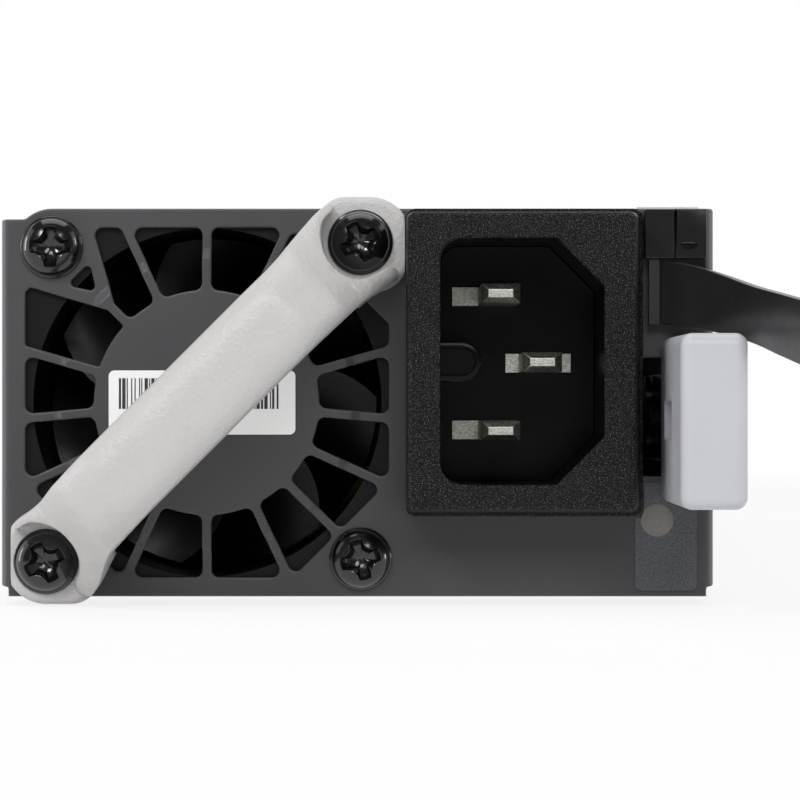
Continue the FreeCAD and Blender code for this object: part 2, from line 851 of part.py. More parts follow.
def pull_handle():
    """Moulded handle on the diagonal between two fan screws, with a pocket over each."""
    pieces = [handle_bar()]
    cuts = []
    for side in (-1, 1):
        pieces += handle_foot(side)
        seat = Vec(side * handle_reach, 0, foot_thickness)
        cuts.append(Part.makeCylinder(pocket_radius, bar_front, seat))
        cuts.append(Part.makeCylinder(screw_shank_radius + handle_hole_gap, bar_front,
                                      seat - ALONG_Z * (foot_thickness + over)))
    handle = fused(pieces).cut(cuts)
    diagonal = math.sqrt(0.5)
    turn = FreeCAD.Rotation(Vec(diagonal, 0, diagonal), Vec(-diagonal, 0, diagonal), Vec(0, -1, 0), "XZY")
    handle.Placement = FreeCAD.Placement(Vec(fan_x, front_y, fan_z), turn)
    trims = []
    for side in (-1, 1):
        flat_x = fan_x + side * (screw_offset + foot_side_reach)
        far_x = flat_x + side * fan_size
        trims.append(block(min(flat_x, far_x), max(flat_x, far_x), front_y - bar_front - over,
                           front_y + over, -fan_size, 2 * fan_size))
    handle = one_solid(handle.cut(trims))
    handle.translate(Vec(handle_shift, 0, handle_shift))
    return handle


# ---------------------------------------------------------------- fan

def fan_frame():
    """Square fan housing with a round duct, two corner flanges and a rear motor mount."""
    half = fan_size / 2
    flanges = []
    for y_low in (fan_front_y, fan_rear_y - fan_flange):
        plate = block(fan_x - half, fan_x + half, y_low, y_low + fan_flange, fan_z - half, fan_z + half)
        flanges.append(rounded(plate, fan_corner_radius, ALONG_Y))
    duct = rod(half, fan_x, fan_front_y, fan_z, fan_depth)
    bore = rod(fan_bore_radius, fan_x, fan_front_y - over, fan_z, fan_depth + 2 * over)
    frame = fused([duct] + flanges).cut(bore)
    hub = rod(stator_radius + fan_mount_rim, fan_x, fan_rear_y - fan_flange, fan_z, fan_mount_depth)
    struts = [fan_strut(360.0 / fan_strut_count * index + fan_strut_turn)
              for index in range(fan_strut_count)]
    frame = fused([frame, hub] + struts)
    holes = [rod(screw_shank_radius + hole_fit, x, fan_front_y - over, z, fan_depth + 2 * over)
             for x, z in fan_screw_points(HANDLE_SIGNS + PANEL_SIGNS)]
    holes.append(rod(fan_shaft_radius * 2, fan_x, fan_front_y, fan_z, fan_depth + over))
    return one_solid(frame.cut(holes))


def fan_strut(angle):
    """One arm from the duct wall to the motor mount at the fan's rear."""
    bar = block(stator_radius, fan_bore_radius + fan_wall / 2, fan_rear_y - fan_flange,
                fan_rear_y - fan_flange + fan_mount_depth, -fan_strut_width / 2, fan_strut_width / 2)
    bar.rotate(HERE, ALONG_Y, angle)
    bar.translate(Vec(fan_x, 0, fan_z))
    return bar


def fan_stator():
    """Wound motor core on a bearing tube that stands on the motor mount."""
    base = fan_rear_y - fan_flange
    length = impeller_hub_depth - bearing_short
    tube_radius = fan_shaft_radius * 2 - slip
    bearing = rod(tube_radius, fan_x, base - length, fan_z, length + fan_mount_depth)
    core = rod(stator_radius, fan_x, base - length + bearing_short - over, fan_z, length - bearing_short)
    stem = rod(tube_radius + over, fan_x, base - over, fan_z, over)
    slots = []
    for index in range(stator_slot_count):
        groove = block(stator_radius * 0.55, stator_radius + over, base - length + over, base - over,
                       -stator_slot_width / 2, stator_slot_width / 2)
        groove.rotate(HERE, ALONG_Y, 360.0 / stator_slot_count * index)
        groove.translate(Vec(fan_x, 0, fan_z))
        slots.append(groove)
    motor = fused([bearing, core, stem]).cut(slots)
    bore = rod(fan_shaft_radius + fan_shaft_fit, fan_x, base - length - over, fan_z,
               length + 2 * over + fan_flange)
    return one_solid(motor.cut(bore))


def fan_shaft():
    """Steel shaft that is fixed in the impeller hub and turns in the bearing tube."""
    start = impeller_front_y + impeller_hub_face / 2
    return rod(fan_shaft_radius, fan_x, start, fan_z, fan_rear_y - fan_flange + over - start)


def fan_blade(angle):
    """One twisted blade, from inside the hub wall to past the tip circle."""
    mid_y = (impeller_front_y + impeller_rear_y) / 2
    half_along = impeller_hub_depth * 0.46
    stations = ((impeller_hub_radius - blade_sink, blade_root_pitch), (fan_bore_radius, blade_tip_pitch))
    wires = []
    for radius, pitch in stations:
        lean = math.radians(90 - pitch)
        along = Vec(math.sin(lean), math.cos(lean), 0).multiply(half_along)
        across = Vec(math.cos(lean), -math.sin(lean), 0).multiply(blade_thickness / 2)
        centre = Vec(0, mid_y, radius)
        corners = [centre + along + across, centre + along - across,
                   centre - along - across, centre - along + across]
        wires.append(Part.makePolygon(corners + corners[:1]))
    blade = Part.makeLoft(wires, True, True)
    blade.rotate(HERE, ALONG_Y, angle)
    blade.translate(Vec(fan_x, 0, fan_z))
    return blade


def fan_impeller():
    """Cup-shaped hub that spins over the stator, with twisted blades around it."""
    front = impeller_front_y
    hub = rod(impeller_hub_radius, fan_x, front, fan_z, impeller_hub_depth)
    hub = hub.makeFillet(impeller_hub_edge, [edge for edge in hub.Edges if is_at_y(edge, front)])
    blades = [fan_blade(360.0 / blade_count * index) for index in range(blade_count)]
    swept = rod(fan_bore_radius - impeller_gap, fan_x, front, fan_z, impeller_hub_depth)
    blades = [blade.common(swept) for blade in blades]
    rotor = hub.multiFuse(blades)
    cavity = rod(impeller_hub_radius - impeller_hub_wall, fan_x, front + impeller_hub_face, fan_z,
                 impeller_hub_depth)
    shaft_hole = rod(fan_shaft_radius, fan_x, front + impeller_hub_face / 2, fan_z, impeller_hub_face)
    return one_solid(rotor.cut([cavity, shaft_hole]))


# ---------------------------------------------------------------- appliance inlet

def rounded_plate(x_low, x_high, z_low, z_high, corner, y):
    """A closed wire in the plane Y = y: a rectangle with rounded corners."""
    plate = rounded(block(x_low, x_high, y, y + over, z_low, z_high), corner, ALONG_Y)
    faces = [face for face in plate.Faces if is_at_y(face, y)]
    return faces[0].OuterWire


def socket_hollow():
    """The space that the cord's connector plugs into, with its keying corners."""
    half_w = socket_width / 2
    half_h = socket_height / 2
    outline = [(inlet_x - half_w, inlet_z - half_h), (inlet_x + half_w - socket_chamfer, inlet_z - half_h),
               (inlet_x + half_w, inlet_z - half_h + socket_chamfer),
               (inlet_x + half_w, inlet_z + half_h - socket_chamfer),
               (inlet_x + half_w - socket_chamfer, inlet_z + half_h), (inlet_x - half_w, inlet_z + half_h)]
    hollow = prism_y(outline, inlet_front_y - over, socket_depth + over)
    left_edges = [edge for edge in hollow.Edges if is_along(edge, ALONG_Y)
                  and edge.CenterOfMass.x < inlet_x - half_w + touch]
    hollow = hollow.makeFillet(socket_corner, left_edges)
    key_front = inlet_front_y + key_back
    key_left = inlet_x - half_w - over
    key_round = inlet_x - half_w + key_length - key_width / 2
    key = block(key_left, key_round, key_front, socket_floor_y, inlet_z - key_width / 2,
                inlet_z + key_width / 2)
    key = key.fuse(rod(key_width / 2, key_round, key_front, inlet_z, socket_floor_y - key_front))
    return hollow.cut(key)


def inlet_front_block():
    """The drafted block in front of the panel and the flange that it stands on."""
    front = rounded_plate(inlet_left, inlet_right, inlet_low, inlet_high, inlet_corner, inlet_front_y)
    back = rounded_plate(inlet_flange_left, inlet_right + inlet_right_draft, inlet_low - inlet_height_draft,
                         inlet_high + inlet_height_draft, inlet_corner, front_y - inlet_flange)
    nose = Part.makeLoft([front, back], True, True)
    nose = nose.makeFillet(inlet_rim_radius, [edge for edge in nose.Edges if is_at_y(edge, inlet_front_y)])
    plate = block(inlet_flange_left, inlet_flange_right, front_y - inlet_flange, front_y,
                  inlet_flange_low, inlet_flange_high)
    return [nose, rounded(plate, inlet_flange_corner, ALONG_Y)]


def inlet_snaps():
    """Ramps above and below the body that hold it behind the panel."""
    start = panel_back + face_gap
    left = inlet_x - snap_width / 2
    ramps = []
    for side in (-1, 1):
        edge_z = inlet_z + side * inlet_body_half_height
        corners = [Vec(left, start, edge_z - side * snap_root), Vec(left, start, edge_z + side * snap_rise),
                   Vec(left, start + snap_length, edge_z - side * snap_root)]
        ramp = Part.Face(Part.makePolygon(corners + corners[:1]))
        ramps.append(ramp.extrude(ALONG_X * snap_width))
    return ramps


def inlet_housing():
    """Moulded inlet with a keyed socket, snapped into the panel from the front."""
    body_end = front_y + inlet_body_depth
    body = block(inlet_x - inlet_body_half_width, inlet_x + inlet_body_half_width, front_y, body_end,
                 inlet_z - inlet_body_half_height, inlet_z + inlet_body_half_height)
    housing = fused(inlet_front_block() + [body] + inlet_snaps())
    cuts = [socket_hollow()]
    for x, z, _left_shoulder, _right_shoulder in pin_places():
        cuts.append(block(x - tab_width / 2, x + tab_width / 2, socket_floor_y - over,
                          body_end + over, z - pin_thickness / 2, z + pin_thickness / 2))
    return one_solid(housing.cut(cuts))


def pin_places():
    """Centre of each pin, and how far its shoulder reaches to the left and right."""
    half_pitch = pin_pitch / 2
    return [(live_pin_x, inlet_z + half_pitch, live_pin_shoulder, 0.0),
            (live_pin_x, inlet_z - half_pitch, live_pin_shoulder, 0.0),
            (earth_pin_x, inlet_z, earth_pin_shoulder, earth_pin_shoulder)]


def pin_tip(x, z):
    """The bevelled front end of a pin."""
    tip_y = inlet_front_y + pin_recess
    half_w = pin_width / 2
    half_t = pin_thickness / 2
    sections = ((tip_y, half_w - pin_tip_chamfer, half_t - pin_tip_flat_chamfer),
                (tip_y + pin_tip_chamfer, half_w, half_t))
    wires = []
    for y, reach_x, reach_z in sections:
        corners = [Vec(x + a * reach_x, y, z + b * reach_z) for a, b in ((-1, -1), (1, -1), (1, 1), (-1, 1))]
        wires.append(Part.makePolygon(corners + corners[:1]))
    return Part.makeLoft(wires, True, True)


def contact_pin(x, z, left_shoulder, right_shoulder):
    """A blade with a bevelled tip, a shoulder on the socket floor and a rear tab."""
    blade_y = inlet_front_y + pin_recess + pin_tip_chamfer
    root_end = front_y + inlet_body_depth
    half_w = pin_width / 2
    half_t = pin_thickness / 2
    low = z - half_t
    high = z + half_t
    pieces = [pin_tip(x, z), block(x - half_w, x + half_w, blade_y, socket_floor_y, low, high),
              block(x - half_w - left_shoulder, x + half_w + right_shoulder,
                    socket_floor_y - pin_shoulder_height, socket_floor_y, low, high),
              block(x - tab_width / 2, x + tab_width / 2, socket_floor_y, root_end, low, high),
              block(x - tab_width / 2, x + tab_width / 2, root_end, root_end + tab_length,
                    z - tab_thickness / 2, z + tab_thickness / 2)]
    return one_solid(fused(pieces))


def wire_run(points, radius, bend):
    """A round wire along straight runs joined by arcs of one bend radius."""
    edges = []
    start = points[0]
    for before, corner, after in zip(points, points[1:], points[2:]):
        back = (before - corner).normalize()
        ahead = (after - corner).normalize()
        half_turn = back.getAngle(ahead) / 2
        cut = bend / math.tan(half_turn)
        bisector = (back + ahead).normalize()
        centre = corner + bisector * (bend / math.sin(half_turn))
        enter = corner + back * cut
        leave = corner + ahead * cut
        edges.append(Part.makeLine(start, enter))
        edges.append(Part.Arc(enter, centre - bisector * bend, leave).toShape())
        start = leave
    edges.append(Part.makeLine(start, points[-1]))
    path = Part.Wire(edges)
    section = Part.Wire(Part.makeCircle(radius, points[0], points[1] - points[0]))
    return path.makePipeShell([section], True, False)


def inlet_wires():
    """Three wires from the inlet's rear tabs down to the board."""
    start_y = front_y + inlet_body_depth + tab_length + face_gap
    landing_y = board_front_y + inlet_wire_landing
    wires = []
    for index, (x, z, _left_shoulder, _right_shoulder) in enumerate(pin_places()):
        landing_x = inlet_x + inlet_wire_spread * (index - 1)
        points = [Vec(x, start_y, z), Vec(x, landing_y, z),
                  Vec(landing_x, landing_y, board_top + inlet_wire_rise),
                  Vec(landing_x, landing_y, board_top + face_gap)]
        wires.append(wire_run(points, inlet_wire_radius, inlet_wire_bend))
    return grouped(wires)


# ---------------------------------------------------------------- latch

def latch_path():
    """Middle line of the latch leaf in plan, from its rear end to inside the cap."""
    wall_x = tray_inner - latch_wall_gap - latch_thickness / 2
    return [(wall_x, front_y + latch_pivot_depth + latch_tail), (wall_x, front_y + latch_jog_end),
            (latch_front_x, front_y + latch_jog_start), (latch_front_x, front_y - cap_grip_depth)]


def latch_spring():
    """Spring steel leaf along the case wall, with a hook that stands through it."""
    half = latch_thickness / 2
    path = latch_path()
    outline = [(x - half, y) for x, y in path] + [(x + half, y) for x, y in reversed(path)]
    leaf = prism_z(outline, latch_low, latch_high - latch_low)
    outer_x = path[0][0] + half
    hook_points = [(outer_x - half, front_y + hook_start), (half_width + hook_proud, front_y + hook_start),
                   (half_width + hook_proud, front_y + hook_start + hook_land),
                   (outer_x - half, front_y + hook_start + hook_length)]
    hook = prism_z(hook_points, latch_z - hook_height / 2, hook_height)
    holes = [rod(latch_rivet_radius + slip, path[0][0] - over, front_y + latch_pivot_depth, z, 2 * over,
                 ALONG_X) for z in latch_rivet_heights()]
    return one_solid(fused([leaf, hook]).cut(holes))


def latch_rivet_heights():
    """Heights of the two rivets at the latch leaf's rear end."""
    return (latch_z - latch_rivet_pitch / 2, latch_z + latch_rivet_pitch / 2)


def latch_rivets():
    """Rivets that carry the latch leaf on the tray's side wall."""
    rivets = []
    leaf_inner = tray_inner - latch_wall_gap - latch_thickness
    for z in latch_rivet_heights():
        head_x = leaf_inner - slip - latch_rivet_head
        head = rod(latch_rivet_head_radius, head_x, front_y + latch_pivot_depth, z,
                   latch_rivet_head, ALONG_X)
        shank = rod(latch_rivet_radius, head_x, front_y + latch_pivot_depth, z,
                    tray_half - head_x, ALONG_X)
        rivets.append(one_solid(fused([head, shank])))
    return grouped(rivets)


def latch_cap():
    """Moulded thumb cap on the front end of the latch leaf."""
    cap = block(cap_left, cap_right, front_y - cap_front, front_y - cap_start, cap_low, cap_high)
    edges = [edge for edge in cap.Edges if not is_at_y(edge, front_y - cap_start)]
    cap = cap.makeFillet(cap_edge, edges)
    half = latch_thickness / 2 + face_gap
    pocket = block(latch_front_x - half, latch_front_x + half, front_y - cap_grip_depth - face_gap,
                   front_y, latch_low - face_gap, latch_high + face_gap)
    window = block(cap_left - over, cap_left + cap_wall, front_y - cap_window_end, front_y - cap_window_start,
                   latch_z - cap_window_height / 2, latch_z + cap_window_height / 2)
    return one_solid(cap.cut([pocket, window]))


# ---------------------------------------------------------------- strap

def strap_anchor():
    """Moulded head of the cord strap, pegged into the panel."""
    head = block(anchor_left, anchor_right, front_y - anchor_proud, front_y - face_gap,
                 anchor_low, anchor_high)
    head = head.makeFillet(anchor_edge, [edge for edge in head.Edges if edge.CenterOfMass.y < front_y - over])
    slot_x = anchor_x + anchor_slot_offset
    slot = block(slot_x - anchor_slot_width / 2, slot_x + anchor_slot_width / 2,
                 front_y - anchor_proud - over, front_y - anchor_proud / 2,
                 anchor_z - anchor_slot_height * 1.5, anchor_z - anchor_slot_height / 2)
    slot = rounded(slot, anchor_slot_height * 0.4, ALONG_Y)
    peg = rod(anchor_peg_radius, anchor_x, front_y - over, anchor_z, anchor_peg_length + over)
    barb = Part.makeCone(anchor_peg_radius + anchor_barb_rise, anchor_peg_radius * 0.6, anchor_barb_length,
                         Vec(anchor_x, panel_back + face_gap, anchor_z), ALONG_Y)
    return one_solid(fused([head, peg, barb]).cut(slot))


def arc_step(heading, turn, radius):
    """How far an arc that starts at a heading leads to the side and ahead, for a given turn."""
    aside = radius * (math.cos(heading) - math.cos(heading + turn))
    ahead = radius * (math.sin(heading + turn) - math.sin(heading))
    return aside, ahead


def strap_point(length):
    """Place and heading of the strap in plan, at a length along it from its root."""
    exit_heading = math.radians(strap_exit_heading)
    middle_heading = math.radians(strap_middle_heading)
    first_length = strap_first_radius * (exit_heading - middle_heading)
    if length <= first_length:
        turn = -length / strap_first_radius
        aside, ahead = arc_step(exit_heading, turn, -strap_first_radius)
        return aside, ahead, exit_heading + turn
    aside, ahead = arc_step(exit_heading, middle_heading - exit_heading, -strap_first_radius)
    run = min(length - first_length, strap_straight)
    aside += run * math.sin(middle_heading)
    ahead += run * math.cos(middle_heading)
    turn = max(length - first_length - strap_straight, 0) / strap_second_radius
    swing, advance = arc_step(middle_heading, turn, strap_second_radius)
    return aside + swing, ahead + advance, middle_heading + turn


def strap_length():
    """Length of the strap from its root to its free end."""
    first = strap_first_radius * math.radians(strap_exit_heading - strap_middle_heading)
    second = strap_second_radius * math.radians(strap_end_heading - strap_middle_heading)
    return first + strap_straight + second


def strap_drop(length):
    """How far the strap's upper edge has fallen at a length along it."""
    dip = strap_dip * (1 - math.exp(-(length / strap_dip_length) ** 2))
    return strap_slope * length + length ** 2 / (2 * strap_fall_radius) + dip


def strap_section(length):
    """Cross-section of the strap: a thin upright rectangle, tilted most where it bends."""
    aside, ahead, heading = strap_point(length)
    share = length / strap_tilt_length
    lean = math.radians(strap_tilt) * share * math.exp(1 - share)
    side = Vec(math.cos(heading), math.sin(heading), 0)
    rise = (ALONG_Z * math.cos(lean) - side * math.sin(lean)) * (strap_width / 2)
    across = side * (strap_thickness / 2)
    centre = Vec(strap_root_x + strap_root_length + aside, front_y - anchor_proud / 2 - ahead,
                 strap_high - strap_drop(length) - rise.z)
    corners = [centre + across + rise, centre - across + rise, centre - across - rise, centre + across - rise]
    return Part.makePolygon(corners + corners[:1])


def cord_strap():
    """Flat nylon strap that leaves the anchor and curves forward and outward."""
    step = strap_length() / (strap_station_count - 1)
    sections = [strap_section(index * step) for index in range(strap_station_count)]
    return one_solid(Part.makeLoft(sections, True, False))


def strap_root():
    """Fixed end of the strap, flat against the panel below its anchor."""
    return block(strap_root_x, strap_root_x + strap_root_length - 2 * slip, front_y - anchor_proud * 0.8,
                 front_y - face_gap, strap_high - strap_width, anchor_low - face_gap)


# ---------------------------------------------------------------- light and labels

def status_label():
    """Printed overlay around the status light."""
    label = block(status_label_left, status_label_right, front_y - label_thickness, front_y,
                  status_label_low, status_label_high)
    label = rounded(label, status_label_corner, ALONG_Y)
    flange_room = block(status_label_left - over, inlet_flange_right + slip, front_y - over, front_y + over,
                        inlet_flange_low - slip, inlet_flange_high)
    light_room = rod(light_radius + slip, light_x, front_y - over, light_z, 2 * over)
    return one_solid(label.cut([flange_room, light_room]))


def light_pipe():
    """Clear light guide with a domed front, pushed through the panel."""
    middle_y = front_y - light_dome / 2
    flare = rod(light_radius, light_x, middle_y, light_z, light_dome / 2 + sheet)
    dome = Part.makeSphere(light_radius, Vec(light_x, middle_y, light_z))
    reach = 2 * light_radius
    front_room = block(light_x - reach, light_x + reach, front_y - light_dome, front_y,
                       light_z - reach, light_z + reach)
    guide = rod(light_pipe_radius, light_x, panel_back, light_z, light_pipe_length)
    return one_solid(fused([flare, dome.common(front_room), guide]))


def status_light():
    """Small light source on its own bracket board behind the guide."""
    start = panel_back + light_pipe_length + face_gap
    lamp = rod(light_pipe_radius, light_x, start, light_z, lamp_length)
    board_start = start + lamp_length
    board = block(light_x - lamp_board_margin, tray_inner - face_gap, board_start,
                  board_start + board_thickness, floor_top + face_gap, light_z + lamp_board_margin)
    return one_solid(fused([lamp, board]))


def hub_label():
    """Paper label on the grille hub, with a clean white face."""
    y_high = front_y - dish_rise
    middle = fan_x + hub_label_shift
    half_w = grille_hub_radius - hub_label_margin
    label = block(middle - half_w, middle + half_w, y_high - label_thickness, y_high,
                  fan_z - hub_label_height / 2, fan_z + hub_label_height / 2)
    return rounded(label, hub_label_corner, ALONG_Y)


# ---------------------------------------------------------------- case

def latch_windows(x_low, x_high):
    """Opening in the right wall for the latch hook, with room for its stroke."""
    half_h = hook_height / 2 + hook_window_gap / 2
    return block(x_low, x_high, front_y + hook_start - hook_window_gap,
                 front_y + hook_start + hook_length + hook_window_gap, latch_z - half_h, latch_z + half_h)


def vent_holes():
    """Round air holes in the rear wall above the card edge."""
    holes = []
    first_z = board_top + card_slot_height + vent_radius
    for row in range(vent_rows):
        shift = vent_pitch / 2 * (row % 2)
        count = vent_columns - row % 2
        for column in range(count):
            x = (column - (vent_columns - 1) / 2) * vent_pitch + shift
            z = first_z + row * vent_pitch * 0.87
            holes.append(rod(vent_radius, x, rear_y - sheet - over, z, sheet + 2 * over))
    return holes


def board_hole_points():
    """Places of the six board screws."""
    far_x = board_half - standoff_inset_x
    low_y = board_front_y + standoff_inset_y
    high_y = board_rear_y - standoff_inset_y
    return [(side * far_x, y) for side in (-1, 1) for y in (low_y, (low_y + high_y) / 2, high_y)]


def cover_screw_points():
    """Places of the four cover screws on the side walls, as side and Y."""
    rows = (front_y + cover_screw_inset, rear_y - cover_screw_inset)
    return [(side, y) for side in (-1, 1) for y in rows]


def side_holes(radius, x_reach):
    """Holes through a side wall at each cover screw."""
    return [rod(radius, side * (tray_inner - over), y, cover_screw_height, x_reach, Vec(side, 0, 0))
            for side, y in cover_screw_points()]


def side_walls(inner, outer, y_low, z_low, z_high):
    """Two upright walls along the case, between an inner and an outer distance from its middle."""
    return [block(min(side * inner, side * outer), max(side * inner, side * outer), y_low, rear_y,
                  z_low, z_high) for side in (-1, 1)]


def chassis_tray():
    """Lower case: floor, two side walls and a vented rear wall from one sheet."""
    top = roof_low - face_gap
    tray_front = panel_back + bend_inside
    floor = block(-tray_half, tray_half, tray_front, rear_y, 0, sheet)
    walls = side_walls(tray_inner, tray_half, tray_front, 0, top)
    rear = block(-tray_half, tray_half, rear_y - sheet, rear_y, 0, top)
    tray = fused([floor, rear] + walls)
    cuts = vent_holes() + side_holes(cover_screw_radius, sheet + 2 * over)
    card_half = tongue_half + slip
    cuts.append(block(-card_half, card_half, rear_y - sheet - over, rear_y + over, board_low - slip,
                      board_top + card_slot_height - card_slot_drop))
    cuts.append(latch_windows(tray_inner - over, tray_half + over))
    for z in latch_rivet_heights():
        cuts.append(rod(latch_rivet_radius, tray_inner - over, front_y + latch_pivot_depth, z,
                        sheet + 2 * over, ALONG_X))
    return one_solid(tray.cut(cuts))


def top_cover():
    """Bare metal cover: roof and two sides that lap outside the tray."""
    side_front = front_y + flange_depth + cover_gap
    roof_outer = block(-half_width, half_width, side_front, rear_y, roof_low, case_height)
    roof_front = block(slip - tray_half, tray_half - slip, panel_back + face_gap, side_front + over,
                       roof_low, case_height)
    sides = side_walls(tray_half, half_width, side_front, sheet, case_height)
    cover = fused([roof_outer, roof_front] + sides)
    cover = cover.makeFillet(bend_inside + sheet, [edge for edge in cover.Edges if is_roof_bend(edge)])
    hook_room = latch_windows(tray_half - over, half_width + over)
    holes = side_holes(cover_screw_radius + slip, 2 * (sheet + over))
    return one_solid(cover.cut([hook_room] + holes))


def is_roof_bend(edge):
    """True for the two long edges between the cover's roof and its sides."""
    centre = edge.CenterOfMass
    at_side = abs(abs(centre.x) - half_width) < touch
    return at_side and abs(centre.z - case_height) < touch and is_along(edge, ALONG_Y)


def cover_screws():
    """Low-head screws that hold the cover's sides to the tray."""
    z = cover_screw_height
    screws = []
    for side, y in cover_screw_points():
        out = Vec(side, 0, 0)
        start = tray_inner - cover_screw_tip
        head = rod(cover_screw_head_radius, side * half_width, y, z, cover_screw_head, out)
        shank = rod(cover_screw_radius - hole_fit, side * start, y, z, half_width - start, out)
        face_x = side * (half_width + cover_screw_head)
        bars = [standing(face_x, y, z - height / 2, 2 * cross_depth, width, height)
                for width, height in ((cross_width, 2 * cross_reach), (2 * cross_reach, cross_width))]
        screws.append(one_solid(fused([head, shank]).cut(bars)))
    return grouped(screws)


def grounding_spring():
    """Bright contact fingers that clip over the front edge of the roof."""
    pitch = (spring_right - spring_left) / spring_finger_count
    start = panel_back + face_gap
    end = start + spring_depth
    fingers = [block(spring_left, spring_right, start, start + spring_spine, case_height,
                     case_height + spring_thickness)]
    for index in range(spring_finger_count):
        low = spring_left + pitch * index + spring_finger_gap / 2
        profile = [(start, 0), (start, spring_thickness), ((start + end) / 2, spring_rise),
                   (end, spring_thickness), (end, 0)]
        corners = [Vec(low, y, case_height + z) for y, z in profile]
        face = Part.Face(Part.makePolygon(corners + corners[:1]))
        fingers.append(face.extrude(ALONG_X * (pitch - spring_finger_gap)))
    return one_solid(fused(fingers))


# ---------------------------------------------------------------- boards and fasteners

def main_board():
    """Circuit board with a card edge tongue that reaches out of the rear wall."""
    plate = block(-board_half, board_half, board_front_y, board_rear_y, board_low, board_top)
    tongue = block(-tongue_half, tongue_half, board_rear_y - over, rear_y + tongue_reach,
                   board_low, board_top)
    holes = [rod(board_screw_radius + slip, x, y, board_low - over, board_thickness + 2 * over, ALONG_Z)
             for x, y in board_hole_points()]
    return one_solid(fused([plate, tongue]).cut(holes))


def gold_contacts():
    """Contact strips on both faces of the card edge."""
    end = rear_y + tongue_reach - contact_edge
    strips = []
    for base in (board_top, board_low - contact_thickness):
        for index in range(contact_count):
            x = (index - (contact_count - 1) / 2) * contact_pitch
            strips.append(block(x - contact_width / 2, x + contact_width / 2, end - contact_length, end,
                                base, base + contact_thickness))
    return grouped(strips)


def board_standoffs():
    """Threaded posts between the case floor and the board."""
    posts = []
    for x, y in board_hole_points():
        post = rod(standoff_radius, x, y, floor_top, board_rise, ALONG_Z)
        bore = rod(board_screw_radius + hole_fit, x, y, floor_top + standoff_floor, board_rise, ALONG_Z)
        posts.append(post.cut(bore))
    return grouped(posts)


def board_screws():
    """Screws that clamp the board to its posts."""
    grip = board_thickness + board_rise * 0.7
    head_top = board_top + board_screw_head
    screws = []
    for x, y in board_hole_points():
        head = rod(board_screw_head_radius, x, y, board_top, board_screw_head, ALONG_Z)
        shank = rod(board_screw_radius, x, y, board_top - grip, grip, ALONG_Z)
        drive = rod(board_screw_drive_radius, x, y, head_top - board_screw_drive_depth, over, ALONG_Z)
        screws.append(one_solid(fused([head, shank]).cut(drive)))
    return grouped(screws)


def insulator_sheet():
    """Insulating film on the case floor under the board."""
    film_half = tray_inner - slip
    film = block(-film_half, film_half, board_front_y - insulator_front, board_rear_y, floor_top,
                 floor_top + insulator_thickness)
    holes = [rod(standoff_radius + slip, x, y, floor_top - over, 2 * over, ALONG_Z)
             for x, y in board_hole_points()]
    return one_solid(film.cut(holes))


# ---------------------------------------------------------------- parts on the board

def ring(centre_x, centre_y, outer, inner, base_z, height):
    """A flat ring that lies on the board."""
    body = rod(outer, centre_x, centre_y, base_z, height, ALONG_Z)
    return body.cut(rod(inner, centre_x, centre_y, base_z - over, height + 2 * over, ALONG_Z))


def ring_sector(centre_x, centre_y, outer, inner, base_z, height, start, angle):
    """A part of a ring, between two angles in degrees."""
    corners = [Vec(inner, 0, 0), Vec(outer, 0, 0), Vec(outer, 0, height), Vec(inner, 0, height)]
    face = Part.Face(Part.makePolygon(corners + corners[:1]))
    sector = face.revolve(HERE, ALONG_Z, angle)
    sector.rotate(HERE, ALONG_Z, start)
    sector.translate(Vec(centre_x, centre_y, base_z))
    return sector


def wound_sector(place, outer, inner, core_height, start, angle):
    """Winding that wraps a stretch of a ring core, with a small gap to the core."""
    x, y = place
    cover = ring_sector(x, y, outer + choke_wire, inner - choke_wire, board_top,
                        core_height + 2 * choke_wire, start, angle)
    hollow = ring(x, y, outer + winding_gap, inner - winding_gap, board_top + choke_wire - winding_gap,
                  core_height + 2 * winding_gap)
    return cover.cut(hollow)


def choke_core():
    """Ferrite ring of the input filter choke."""
    return ring(choke_x, choke_y, choke_outer, choke_inner, board_top + choke_wire, choke_height)


def choke_windings():
    """The filter choke's two coils, on opposite sides of the ring."""
    place = (choke_x, choke_y)
    margin = choke_winding_angle / 2
    return grouped([wound_sector(place, choke_outer, choke_inner, choke_height,
                                 middle - margin, choke_winding_angle) for middle in (90, 270)])


def boost_choke_core():
    """Powder ring of the power factor choke."""
    return ring(boost_x, boost_y, boost_outer, boost_inner, board_top + choke_wire, boost_height)


def boost_choke_winding():
    """Single heavy coil around the power factor choke."""
    return wound_sector((boost_x, boost_y), boost_outer, boost_inner, boost_height,
                        boost_winding_start, boost_winding_angle)


def film_capacitors():
    """Two box capacitors across the line."""
    boxes = []
    for side in (-1, 1):
        box = standing(film_x, film_y + side * film_pitch / 2, board_top, film_width, film_depth, film_height)
        boxes.append(rounded(box, film_corner, ALONG_Z))
    return grouped(boxes)


def disc_capacitors():
    """Small discs between the line and the case, standing on the board."""
    axis_z = board_top + disc_radius + disc_rise
    discs = []
    for index in (-1, 0, 1):
        y = disc_y + index * disc_pitch
        disc = rod(disc_radius, disc_x - disc_thickness / 2, y, axis_z, disc_thickness, ALONG_X)
        disc = disc.makeFillet(disc_edge, disc.Edges[:])
        stem = standing(disc_x, y, board_top, disc_stem_width, disc_stem_depth, disc_stem_height)
        discs.append(one_solid(fused([disc, stem])))
    return grouped(discs)


